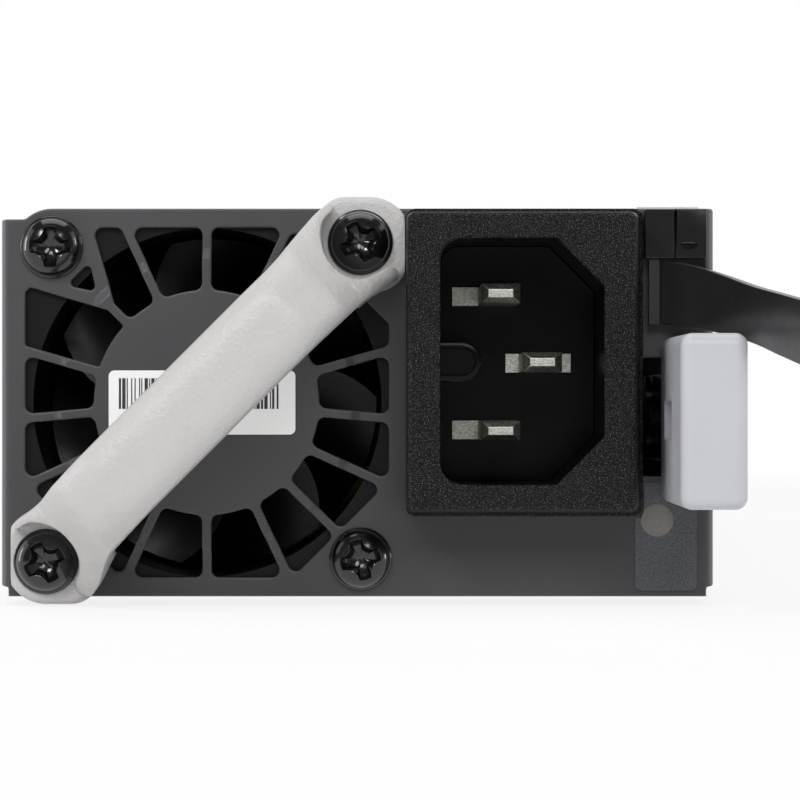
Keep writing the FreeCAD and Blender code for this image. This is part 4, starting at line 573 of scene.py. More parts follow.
# Smooth black plastic of the socket, a little darker than the housing as painted shade in the deep socket;
# also the painted shade of the anchor's oval.
SOCKET_PLASTIC_AND_SHADE = Plastic("socket_plastic_and_shade", (5, 5, 5), 0.24, 6.0, 0.004, 0.15, gloss=0.14)
PIN_METAL = Metal("pin_metal", (226, 225, 215), 0.38, (2.0, 1.0, 4.0), 0.02, shade=0.62)
NYLON = Plastic("nylon", (43, 43, 43), 0.3, 3.0, 0.006, 0.1, gloss=0.5)
ANCHOR_PLASTIC = Plastic("anchor_plastic", (29, 29, 31), 0.2, 0.4, 0.03, 0.1, gloss=0.35)
FAN_PLASTIC = Plastic("fan_plastic", (15, 17, 16), 0.36, 4.0, 0.01, 0.1, gloss=0.3)
FAN_FRAME_PLASTIC = Plastic("fan_frame_plastic", (9, 9, 9), 0.5, 4.0, 0.01, 0.1, gloss=0.2)
SPRING_STEEL = Metal("spring_steel", (188, 187, 184), 0.24, (8.0, 1.0, 8.0))
CONTACT_STEEL = Metal("contact_steel", (238, 238, 236), 0.5, (1.0, 8.0, 8.0))
ZINC_SHEET = Spangle("zinc_sheet")
ZINC_PLATE = Metal("zinc_plate", (186, 190, 196), 0.32, (2.0, 2.0, 2.0))
BRASS = Metal("brass", (190, 160, 96), 0.3, (2.0, 2.0, 8.0))
GOLD = Metal("gold", (222, 178, 96), 0.2, (8.0, 1.0, 8.0))
COPPER_BAR = Metal("copper_bar", (196, 124, 84), 0.3, (8.0, 1.0, 8.0))
ALUMINIUM = Metal("aluminium", (200, 202, 204), 0.34, (8.0, 8.0, 1.0))
COPPER_WIRE = Windings("copper_wire")
ENAMEL_WIRE = Metal("enamel_wire", (178, 98, 46), 0.26, (3.0, 3.0, 3.0))
LIGHT_GUIDE = Guide("light_guide")
OVERLAY = Paper("overlay", (78, 80, 85), 0.2, 0.38, 4.5)
LABEL_PAPER = Paper("label_paper", (255, 255, 253), 0.012, 0.55)
LABEL_INK = Paper("label_ink", (44, 45, 49), 0.05, 0.55)
BOARD_GREEN = Board("board_green")
INSULATOR_FILM = Plastic("insulator_film", (226, 224, 214), 0.35, 1.0, 0.02, 0.03)
FILM_CASE = Plastic("film_case", (206, 178, 70), 0.36, 4.0, 0.01, 0.03)
RELAY_CASE = Plastic("relay_case", (214, 216, 214), 0.36, 4.0, 0.008, 0.03)
DISC_COAT = Plastic("disc_coat", (44, 92, 168), 0.2, 1.0, 0.03, 0.06)
FERRITE = Plastic("ferrite", (54, 55, 58), 0.55, 7.0, 0.02, 0.12)
POWDER_CORE = Plastic("powder_core", (76, 112, 96), 0.5, 5.0, 0.02, 0.08)
TAPE = Plastic("tape", (218, 178, 44), 0.3, 1.4, 0.02, 0.06)
FUSE_BODY = Plastic("fuse_body", (226, 224, 216), 0.3, 3.0, 0.004, 0.02)
PACKAGE = Plastic("package", (34, 35, 37), 0.5, 8.0, 0.012, 0.1)
CAN_SLEEVE = Plastic("can_sleeve", (30, 38, 66), 0.3, 0.8, 0.02, 0.08)
CAN_MARK = Plastic("can_mark", (86, 66, 148), 0.4, 4.0, 0.004, 0.05)
WIRE_JACKET = Plastic("wire_jacket", (34, 34, 36), 0.38, 3.0, 0.008, 0.1)
LEAD_JACKET = Plastic("lead_jacket", (150, 40, 36), 0.38, 3.0, 0.008, 0.06)
PLUG_PLASTIC = Plastic("plug_plastic", (230, 226, 212), 0.36, 4.0, 0.006, 0.03)


# ---------------------------------------------------------------- pieces

class Model:
    """A piece in the making. Its mesh is built where it stands, in metres."""

    def __init__(self) -> None:
        """Starts with an empty mesh."""
        self.mesh = bmesh.new()
        self.finishes: list[Finish] = []

    @classmethod
    def copied(cls, *nodes: str) -> "Model":
        """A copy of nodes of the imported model, with their loose triangles joined to faces.

        Args:
            nodes: Names of the nodes.

        Returns:
            A model with the joined faces.
        """
        model = cls()
        for node in nodes:
            model.mesh.from_mesh(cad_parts[node].data)
        bmesh.ops.remove_doubles(model.mesh, verts=model.mesh.verts, dist=0.002 * MM)
        bmesh.ops.recalc_face_normals(model.mesh, faces=model.mesh.faces)
        bmesh.ops.dissolve_limit(model.mesh, angle_limit=math.radians(0.4), verts=model.mesh.verts,
                                 edges=model.mesh.edges)
        return model

    def skin(self, rings: Sequence[Sequence[Vector]]) -> list[bmesh.types.BMFace]:
        """Runs a closed skin through rings of points, with a flat face at each end.

        Args:
            rings: Points of each ring in metres, in step with each other.

        Returns:
            The new faces.
        """
        first = bmesh.ops.create_circle(self.mesh, cap_ends=True, segments=len(rings[0]), radius=MM)
        faces = list(first["verts"][0].link_faces)
        row = list(faces[0].verts)
        for vert, point in zip(row, rings[0]):
            vert.co = point
        for points in rings[1:]:
            edges = [self.mesh.edges.get(pair) for pair in zip(row, row[1:] + row[:1])]
            grown = bmesh.ops.extrude_edge_only(self.mesh, edges=edges)["geom"]
            fresh = {item for item in grown if isinstance(item, bmesh.types.BMVert)}
            faces += [item for item in grown if isinstance(item, bmesh.types.BMFace)]
            row = [next(edge.other_vert(vert) for edge in vert.link_edges if edge.other_vert(vert) in fresh)
                   for vert in row]
            for vert, point in zip(row, points):
                vert.co = point
        edges = [self.mesh.edges.get(pair) for pair in zip(row, row[1:] + row[:1])]
        faces += bmesh.ops.contextual_create(self.mesh, geom=edges)["faces"]
        return faces

    def block(self, low: Vector, high: Vector) -> list[bmesh.types.BMVert]:
        """Adds a box between two corners and returns its corners."""
        placed = Matrix.LocRotScale((low + high) / 2, None, high - low)
        return bmesh.ops.create_cube(self.mesh, size=1.0, matrix=placed)["verts"]

    def turned(self, profile: Sequence[tuple[float, float]], foot: Vector, axis: Vector,
               segments: int = 48) -> list[bmesh.types.BMFace]:
        """Adds a turned form.

        Args:
            profile: Radius and height in millimetres, from one end to the other.
            foot: Where the height is 0, in metres.
            axis: Direction of the height.
            segments: Number of faces around it.

        Returns:
            The new faces.
        """
        rise = axis.normalized()
        side = rise.orthogonal().normalized()
        other = rise.cross(side)
        turns = [index * math.tau / segments for index in range(segments)]
        rings = [[foot + (rise * height + (side * math.cos(turn) + other * math.sin(turn)) * radius) * MM
                  for turn in turns] for radius, height in profile]
        return self.skin(rings)

    def cut(self, place: Vector, normal: Sequence[float], clear: bool = False) -> list[bmesh.types.BMEdge]:
        """Cuts all faces along a plane.

        Args:
            place: A point on the plane, in metres.
            normal: Direction across the plane.
            clear: Whether what lies beyond the plane goes.

        Returns:
            The edges on the plane.
        """
        whole = [*self.mesh.verts, *self.mesh.edges, *self.mesh.faces]
        made = bmesh.ops.bisect_plane(self.mesh, geom=whole, plane_co=place, plane_no=normal,
                                      clear_outer=clear)
        return [item for item in made["geom_cut"] if isinstance(item, bmesh.types.BMEdge)]

    def sharp_edges(self, angle: float = 30.0) -> list[bmesh.types.BMEdge]:
        """Edges whose two faces meet at more than an angle, in degrees."""
        limit = math.radians(angle)
        return [edge for edge in self.mesh.edges if edge.is_manifold and edge.calc_face_angle(0) > limit]

    def softened(self, width: float, segments: int = 2, angle: float = 30.0) -> "Model":
        """Rounds every sharp edge.

        Args:
            width: Width of the rounding in millimetres.
            segments: Number of faces across it.
            angle: Edges that turn by more than this, in degrees, are rounded.

        Returns:
            The same model.
        """
        bmesh.ops.bevel(self.mesh, geom=self.sharp_edges(angle), offset=width * MM, offset_type="OFFSET",
                        segments=segments, profile=0.5, affect="EDGES", clamp_overlap=False, material=-1)
        return self

    def paint(self, faces: Iterable[bmesh.types.BMFace], finish: Finish) -> None:
        """Gives some faces a finish of their own."""
        self.finishes.append(finish)
        for face in faces:
            face.material_index = len(self.finishes)

    def piece(self, name: str, body: str, slot: str, finish: Finish, replaces: Sequence[str] = (),
              crease: float = 38.0) -> bpy.types.Object:
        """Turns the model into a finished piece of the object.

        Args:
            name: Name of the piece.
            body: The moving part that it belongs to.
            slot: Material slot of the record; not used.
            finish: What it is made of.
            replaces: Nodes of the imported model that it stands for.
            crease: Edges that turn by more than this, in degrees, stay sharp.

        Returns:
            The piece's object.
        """
        bmesh.ops.recalc_face_normals(self.mesh, faces=self.mesh.faces)
        for edge in self.sharp_edges(crease):
            edge.smooth = False
        for face in self.mesh.faces:
            face.smooth = True
        data = bpy.data.meshes.new(name)
        self.mesh.to_mesh(data)
        self.mesh.free()
        for each in (finish, *self.finishes):
            data.materials.append(each.material())
        piece = bpy.data.objects.new(name, data)
        bpy.context.scene.collection.objects.link(piece)
        normals = piece.modifiers.new("Normals", "WEIGHTED_NORMAL")
        normals.keep_sharp = True
        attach(piece, body)
        if replaces:
            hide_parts(*replaces)
        log.info("%s: %d faces", name, len(data.polygons))
        return piece


def dress(finish: Finish, *nodes: str) -> None:
    """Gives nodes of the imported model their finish."""
    for node in nodes:
        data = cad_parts[node].data
        data.materials.clear()
        data.materials.append(finish.material())


def soft_copy(node: str, slot: str, finish: Finish, width: float, body: str = "case",
              segments: int = 2) -> bpy.types.Object:
    """Dresses a node and puts a copy with rounded edges in its place.

    Args:
        node: Name of the node.
        slot: Material slot of the record.
        finish: What it is made of.
        width: Width of the rounding in millimetres.
        body: The moving part that it belongs to.
        segments: Number of faces across the rounding.

    Returns:
        The copy.
    """
    dress(finish, node)
    return Model.copied(node).softened(width, segments).piece(node + "_soft", body, slot, finish, [node])


class ScrewKind(Enum):
    """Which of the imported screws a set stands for."""

    HANDLE = "handle_screws"
    PANEL = "fan_screws"


@dataclass
class PanHeadScrews:
    """Two pan head screws with a tapered cross recess, on one diagonal of the fan."""

    kind: ScrewKind
    places: tuple[tuple[float, float], tuple[float, float]]
    turns: tuple[float, float]
    head_radius: float = 3.25
    head_height: float = 2.3
    rim_height: float = 0.5
    dome_radius: float = 3.04
    shank_radius: float = 1.5
    recess_radius: float = 2.1
    recess_depth: float = 1.75
    land_radius: float = 1.375
    land_reach: float = 2.8

    def build(self) -> None:
        """Makes both screws as one piece."""
        dress(BLACK_SCREW, self.kind.value)
        fan = Box.of("fan_frame").centre / MM
        node = Box.of(self.kind.value)
        seat = node.low.y / MM + self.head_height
        end = node.high.y / MM
        model = Model()
        for (across, up), turn in zip(self.places, self.turns):
            place = mm(fan.x + across, seat, fan.z + up)
            model.skin(self.rings(place, math.radians(turn), end - seat))
        model.piece(self.kind.value + "_turned", "case", "black_screw", BLACK_SCREW, [self.kind.value], 32)

    def angles(self) -> list[float]:
        """Directions round the head, with one at every corner of the recess."""
        reach, land, radius = self.recess_radius, self.land_reach, self.land_radius
        corner = math.acos((land ** 2 + reach ** 2 - radius ** 2) / (2 * land * reach))
        arm = math.pi / 4 - corner
        found = []
        for quarter in range(4):
            base = quarter * math.pi / 2
            found += [base + arm * share for share in (-1, -0.5, 0, 0.5)]
            found += [base + math.pi / 4 + corner * (step / 5 - 1) for step in range(10)]
        return found

    def recess(self, angle: float) -> float:
        """Radius of the recess's rim in one direction."""
        aside = (angle % (math.pi / 2)) - math.pi / 4
        room = self.land_radius ** 2 - (self.land_reach * math.sin(aside)) ** 2
        if room <= 0:
            return self.recess_radius
        return min(self.recess_radius, self.land_reach * math.cos(aside) - math.sqrt(room))

    def dome(self, radius: float) -> float:
        """Height of the dome above the seat at a radius."""
        share = min(radius / self.dome_radius, 1.0)
        return self.rim_height + (self.head_height - self.rim_height) * math.sqrt(1 - share ** 2)

    def rings(self, place: Vector, turn: float, grip: float) -> list[list[Vector]]:
        """Rings of points from the bottom of the recess over the head to the end of the shank.

        Args:
            place: Middle of the seat in metres.
            turn: Turn of the recess in radians.
            grip: Length of the shank in millimetres.

        Returns:
            The rings, from the recess outwards.
        """
        angles = self.angles()
        floor = self.head_height - self.recess_depth
        outline = [self.recess(angle) for angle in angles]
        rows = [[(radius * 0.2, floor) for radius in outline],
                [(radius * 0.6, floor + 0.25) for radius in outline],
                [(radius * 0.94, self.dome(radius) - 0.2) for radius in outline],
                [(radius, self.dome(radius) - 0.04) for radius in outline],
                [(radius + 0.06, self.dome(radius + 0.06)) for radius in outline]]
        for share in (0.45, 0.75):
            row = [radius + (2.4 - radius) * share for radius in outline]
            rows.append([(radius, self.dome(radius)) for radius in row])
        turned = [(radius, self.dome(radius)) for radius in (2.4, 2.62, 2.8, 2.92, 3.0, self.dome_radius)]
        rim = self.head_radius
        turned += [(rim - 0.16, self.rim_height - 0.03), (rim - 0.07, self.rim_height - 0.09),
                   (rim - 0.02, self.rim_height - 0.18), (rim, self.rim_height - 0.32), (rim, 0.06),
                   (self.head_radius - 0.06, 0.0), (self.shank_radius, 0.0), (self.shank_radius, 0.3 - grip),
                   (self.shank_radius - 0.3, -grip)]
        rows += [[pair] * len(angles) for pair in turned]
        return [[place + mm(radius * math.cos(angle - turn), -height, radius * math.sin(angle - turn))
                 for angle, (radius, height) in zip(angles, row)] for row in rows]


@dataclass
class PullHandle:
    """Moulded grey handle on the diagonal of the fan, with a screw pocket in each foot."""

    shift: float = 0.2
    reach: float = 22.627
    half_width: float = 4.3
    foot_half: float = 4.9
    foot_corners: tuple[float, float, float] = (4.3, 3.0, 4.1)
    flat_reach: float = 4.2
    foot_height: float = 2.0
    pocket_radius: float = 4.0
    pocket_shifts: tuple[tuple[float, float], tuple[float, float]] = ((0.5, -0.3), (-0.05, 0.62))
    hole_radius: float = 2.05
    top: float = 21.0
    under: float = 15.5
    flat_half: float = 12.5
    shoulder: tuple[float, float] = (16.33, 18.4)
    toe: tuple[float, float] = (23.75, 2.0)
    arch_start: float = 11.03
    arch_wall: float = 17.63
    arch_spring: float = 8.5
    bend_radius: float = 4.0
    edge_round: float = 3.2
    flares: tuple[tuple[float, float, float], ...] = ((13.5, 22.2, 5.55), (18.0, 22.8, 5.0),
                                                      (16.4, 22.0, 5.65), (18.0, 22.8, 5.0))
    horn_end: float = 23.15
    across_steps: int = 9

    def build(self) -> None:
        """Makes the arched bar and both feet as one piece."""
        dress(HANDLE_PLASTIC, "pull_handle")
        model = Model()
        for side in (-1, 1):
            model.skin(self.half_rings(side))
        bmesh.ops.remove_doubles(model.mesh, verts=model.mesh.verts, dist=0.001 * MM)
        middle = [face for face in model.mesh.faces
                  if all(abs(vert.co.y) < 0.0005 * MM for vert in face.verts)]
        bmesh.ops.delete(model.mesh, geom=middle, context="FACES")
        bmesh.ops.remove_doubles(model.mesh, verts=model.mesh.verts, dist=0.001 * MM)
        for end in (-1, 1):
            self.foot(model, end)
        diagonal = math.sqrt(0.5)
        fan = Box.of("fan_frame").centre
        panel = Box.of("hub_label").high.y + 0.8 * MM
        turn = Matrix(((diagonal, -diagonal, 0), (0, 0, -1), (diagonal, diagonal, 0))).to_4x4()
        place = Matrix.Translation((fan.x + self.shift * MM, panel, fan.z + self.shift * MM))
        bmesh.ops.transform(model.mesh, matrix=place @ turn, verts=model.mesh.verts)
        self.trim(model, fan.x)
        model.piece("pull_handle_moulded", "case", "handle_plastic", HANDLE_PLASTIC, ["pull_handle"], 40)

    def rounded_line(self, corners: Sequence[tuple[float, float]],
                     steps: int = 6) -> list[tuple[float, float]]:
        """A broken line with its inner corners rounded.

        Args:
            corners: Ends and corners of the line.
            steps: Points along each rounding.

        Returns:
            Points along the line.
        """
        points = [Vector(corners[0])]
        for before, corner, after in zip(corners, corners[1:], corners[2:]):
            here = Vector(corner)
            back = (Vector(before) - here).normalized()
            ahead = (Vector(after) - here).normalized()
            cut = min(self.bend_radius / math.tan(back.angle(ahead) / 2), 2.6)
            for step in range(steps + 1):
                share = step / steps
                start, end = here + back * cut, here + ahead * cut
                points.append(start * (1 - share) ** 2 + here * 2 * share * (1 - share) + end * share ** 2)
        points.append(Vector(corners[-1]))
        return [(point.x, point.y) for point in points]

    @staticmethod
    def height_at(line: Sequence[tuple[float, float]], along: float) -> float:
        """Height of a line at a distance along the handle."""
        for (low_u, low_w), (high_u, high_w) in zip(line, line[1:]):
            if low_u <= along <= high_u and high_u > low_u:
                return low_w + (high_w - low_w) * (along - low_u) / (high_u - low_u)
        return line[-1][1]

    def outer(self, side: int, along: float, end: int) -> float:
        """Half width of the bar on one side, which flares out towards the foot.

        Args:
            side: -1 or 1.
            along: Distance from the middle of the handle.
            end: -1 or 1, for the lower or the upper end.

        Returns:
            The half width in millimetres.
        """
        start, finish, width = self.flares[(0 if end > 0 else 2) + (0 if side > 0 else 1)]
        return self.half_width + (width - self.half_width) * eased((along - start) / (finish - start))

    def inner(self, side: int, along: float, end: int) -> float:
        """Half width of the pocket on one side, at a distance along the handle.

        Args:
            side: -1 or 1.
            along: Distance from the middle of the handle.
            end: -1 or 1, for the lower or the upper end.

        Returns:
            The half width in millimetres.
        """
        further, across = self.pocket_shifts[0 if end < 0 else 1]
        aside = along - self.reach - further
        room = self.pocket_radius ** 2 - aside ** 2
        if room <= 0:
            return 0.0
        moved = side * across * eased((aside + self.pocket_radius) / (0.7 * self.pocket_radius))
        return max(0.0, math.sqrt(room) + moved)

    def half_rings(self, side: int) -> list[list[Vector]]:
        """Cross-sections of one half of the bar, from one horn to the other.

        Args:
            side: -1 or 1, for the half on either side of the diagonal.

        Returns:
            The cross-sections in the handle's own axes, in metres.
        """
        top_line = self.rounded_line([(0.0, self.top), (self.flat_half, self.top), self.shoulder, self.toe])
        under_line = self.rounded_line([(0.0, self.under), (self.arch_start, self.under),
                                        (self.arch_wall, self.arch_spring), (self.arch_wall, 3.0)])
        stations = {0.0, 3.0, 6.0, 9.0}
        stations |= {u for u, _w in top_line} | {u for u, _w in under_line}
        stations.add(self.arch_wall + 0.5)
        for further, _across in self.pocket_shifts:
            start = self.reach + further - self.pocket_radius
            stations |= {start + (self.horn_end - start) * (step / 12) ** 1.6 for step in range(13)}
        rows = []
        for along in sorted(stations):
            if along > self.horn_end + 1e-6:
                continue
            top = self.height_at(top_line, along)
            if along < self.arch_wall - 1e-6:
                rows.append((along, self.height_at(under_line, along), top))
            else:
                if abs(along - self.arch_wall) < 1e-6:
                    rows.append((along, under_line[-2][1], top))
                rows.append((along, self.foot_height - 0.1, top))
        ahead = [self.section(side, 1, *row) for row in rows]
        across = [self.section(-side, -1, *row) for row in rows]
        behind = [[Vector((-point.x, -point.y, point.z)) for point in ring] for ring in reversed(across[1:])]
        return behind + ahead

    def section(self, side: int, end: int, along: float, low: float, high: float) -> list[Vector]:
        """One cross-section of a half of the bar.

        Args:
            side: -1 or 1.
            end: -1 or 1, for the lower or the upper end.
            along: Distance from the middle of the handle.
            low: Height of its underside.
            high: Height of its crest.

        Returns:
            The points of the cross-section.
        """
        inner, outer = self.inner(side, along, end), self.outer(side, along, end)
        tip = max(0.0, 1 - ((self.horn_end - along) / 0.6)) if along > self.horn_end - 0.6 else 0.0
        pinch = 0.35 * tip * (outer - inner)
        outer -= pinch
        inner += pinch * (1 if inner > 0 else 0)
        high -= 0.5 * tip ** 2
        width = outer - inner
        round_out = min(self.edge_round, 0.74 * width)
        drop_out = min(self.edge_round * 0.85, (high - low) * 0.45, 2.0 * round_out)
        round_in = min(0.25, 0.2 * width, 0.3 * inner)
        points = [(inner, low), (inner, high - round_in - 0.001)]
        points.append((inner + round_in * 0.3, high - round_in * 0.3))
        crest = inner + round_in
        plateau = outer - round_out
        points += [(crest + (plateau - crest) * step / 3, high) for step in range(4)]
        for step in range(1, self.across_steps):
            turn = math.pi / 2 * step / (self.across_steps - 1)
            points.append((plateau + round_out * math.sin(turn), high - drop_out * (1 - math.cos(turn))))
        under = min(0.7, 0.3 * width, (high - drop_out - low) * 0.4)
        points += [(outer, low + under), (outer - under * 0.3, low + under * 0.3), (outer - under, low)]
        return [mm(along, side * across, up) for across, up in points]

    def foot(self, model: Model, end: int) -> None:
        """Adds one round foot with its screw hole.

        Args:
            model: The piece to add it to.
            end: -1 or 1, for the lower or the upper end.
        """
        centre = Vector((end * self.reach, 0.0))
        top = self.foot_height
        profile = ((None, 0.0), (-0.15, 0.0), (0.0, 0.15), (0.0, top - 0.7), (-0.12, top - 0.32),
                   (-0.38, top - 0.08), (-0.7, top), (None, top), (None, 0.0))
        turns = [index * math.tau / 96 for index in range(96)]
        rings = []
        for grow, height in profile:
            reach = [self.hole_radius if grow is None else self.foot_edge(turn, end) + grow for turn in turns]
            rings.append([mm(centre.x + far * math.cos(turn), centre.y + far * math.sin(turn), height)
                          for far, turn in zip(reach, turns)])
        faces = model.skin(rings)
        caps = [face for face in faces if len(face.verts) == len(turns)]
        bmesh.ops.delete(model.mesh, geom=caps, context="FACES_ONLY")
        bmesh.ops.remove_doubles(model.mesh, verts=list({v for f in faces if f.is_valid for v in f.verts}),
                                 dist=0.001 * MM)

    def foot_edge(self, turn: float, end: int) -> float:
        """Distance from the screw to the edge of the foot, a square that is rounded at each corner.

        Args:
            turn: Direction from the screw in radians.
            end: -1 or 1, for the lower or the upper end.

        Returns:
            The distance in millimetres.
        """
        outward, wide, narrow = self.foot_corners
        heading = (turn if end > 0 else turn + math.pi) % math.tau
        corner = round(heading / (math.pi / 2)) % 4
        rounding = (outward, wide, outward, narrow)[corner]
        aside = abs((heading + math.pi / 4) % (math.pi / 2) - math.pi / 4)
        slant = math.pi / 4 - aside
        if self.foot_half * math.tan(slant) <= self.foot_half - rounding:
            return self.foot_half / math.cos(slant)
        middle = (self.foot_half - rounding) * math.sqrt(2)
        return middle * math.cos(aside) + math.sqrt(max(0.0, rounding ** 2 - (middle * math.sin(aside)) ** 2))

    def trim(self, model: Model, fan_x: float) -> None:
        """Cuts the outer side of each foot flat.

        Args:
            model: The finished piece.
            fan_x: Middle of the fan in metres.
        """
        for end in (-1, 1):
            flat = fan_x + (self.shift + end * (16.0 + self.flat_reach)) * MM
            rim = model.cut(Vector((flat, 0, 0)), (end, 0, 0), clear=True)
            bmesh.ops.holes_fill(model.mesh, edges=rim, sides=0)


@dataclass
class FanUnit:
    """Impeller with seven curved blades behind the grille."""

    blade_count: int = 7
    hub_radius: float = 10.8
    hub_depth: float = 17.0
    hub_wall: float = 1.6
    hub_face: float = 2.0
    shaft_radius: float = 1.5
    tip_radius: float = 17.4
    half_chord: float = 9.6
    root_pitch: float = 50.0
    tip_pitch: float = 36.0
    camber: float = 1.7
    thickness: float = 1.0
    sweep: float = 11.0
    stations: int = 8
    section_steps: int = 9

    def build(self) -> None:
        """Makes the hub and the blades as one piece."""
        dress(FAN_PLASTIC, "fan_impeller")
        dress(FAN_FRAME_PLASTIC, "fan_frame")
        dress(COPPER_WIRE, "fan_stator")
        dress(LEAD_JACKET, "fan_leads")
        dress(ZINC_PLATE, "fan_shaft")
        soft_copy("fan_plug", "inlet_plastic", PLUG_PLASTIC, 0.2)
        box = Box.of("fan_impeller")
        front = Vector((box.centre.x, box.low.y, box.centre.z))
        model = Model()
        hub, depth = self.hub_radius, self.hub_depth
        model.turned([(0.3, 0.0), (hub - 1.2, 0.0), (hub - 0.6, 0.12), (hub - 0.2, 0.45), (hub, 1.0),
                      (hub, depth), (hub - self.hub_wall, depth), (hub - self.hub_wall, self.hub_face),
                      (self.shaft_radius, self.hub_face), (self.shaft_radius, 1.0), (0.3, 1.0)],
                     front, Vector((0, 1, 0)), 96)
        for index in range(self.blade_count):
            model.skin(self.blade(front, index * math.tau / self.blade_count))
        model.piece("fan_impeller_moulded", "fan_rotor", "fan_plastic", FAN_PLASTIC, ["fan_impeller"], 35)

    def blade(self, front: Vector, turn: float) -> list[list[Vector]]:
        """Sections of one blade from inside the hub to its tip.

        Args:
            front: Middle of the hub's front in metres.
            turn: Direction of the blade in radians.

        Returns:
            The sections, each a closed ring of points.
        """
        root = self.hub_radius - 0.8
        rings = []
        for station in range(self.stations):
            share = station / (self.stations - 1)
            radius = root + (self.tip_radius - root) * share
            pitch = math.radians(self.root_pitch + (self.tip_pitch - self.root_pitch) * share)
            middle = turn + math.radians(self.sweep) * share ** 2
            ring = []
            for side in (1, -1):
                for step in range(self.section_steps):
                    along = (step / self.section_steps if side > 0 else 1 - step / self.section_steps) * 2 - 1
                    body = math.sqrt(max(0.0, 1 - along * along)) * self.thickness / 2 * (1.1 - 0.35 * share)
                    bow = self.camber * (1 - along * along) + side * body
                    around = along * self.half_chord * math.cos(pitch) + bow * math.sin(pitch)
                    deep = (self.hub_depth / 2 + along * self.half_chord * math.sin(pitch)
                            - bow * math.cos(pitch))
                    angle = middle + around / radius
                    ring.append(front + mm(radius * math.sin(angle), deep, radius * math.cos(angle)))
            rings.append(ring)
        return rings


@dataclass(frozen=True)
class Corners:
    """Rectangle in a plane parallel to the panel, with the corners of each side rounded or cut."""

    left: float
    right: float
    low: float
    high: float
    left_round: float
    right_cut: float = 0.0
    steps: int = 9

    def ring(self, depth: float, grow: float = 0.0) -> list[Vector]:
        """Points round the rectangle, the same number at every size.

        Args:
            depth: Height of the plane along Y in millimetres.
            grow: How far the outline is moved outwards, in millimetres.

        Returns:
            The points in metres.
        """
        sides = ((self.right, self.high, 0, True), (self.left, self.high, 1, False),
                 (self.left, self.low, 2, False), (self.right, self.low, 3, True))
        points = []
        for corner_x, corner_z, quarter, is_right in sides:
            away_x = 1 if quarter in (0, 3) else -1
            away_z = 1 if quarter in (0, 1) else -1
            cut = self.right_cut + grow * (2 - math.sqrt(2)) if is_right and self.right_cut else 0.0
            radius = max(self.left_round + grow, 0.02)
            edge_x, edge_z = corner_x + away_x * grow, corner_z + away_z * grow
            for step in range(self.steps):
                share = step / (self.steps - 1)
                if cut:
                    first = share if quarter == 0 else 1 - share
                    points.append(mm(edge_x - away_x * cut * first, depth,
                                     edge_z - away_z * cut * (1 - first)))
                else:
                    turn = (quarter + share) * math.pi / 2
                    points.append(mm(edge_x - away_x * radius + radius * math.cos(turn), depth,
                                     edge_z - away_z * radius + radius * math.sin(turn)))
        return points


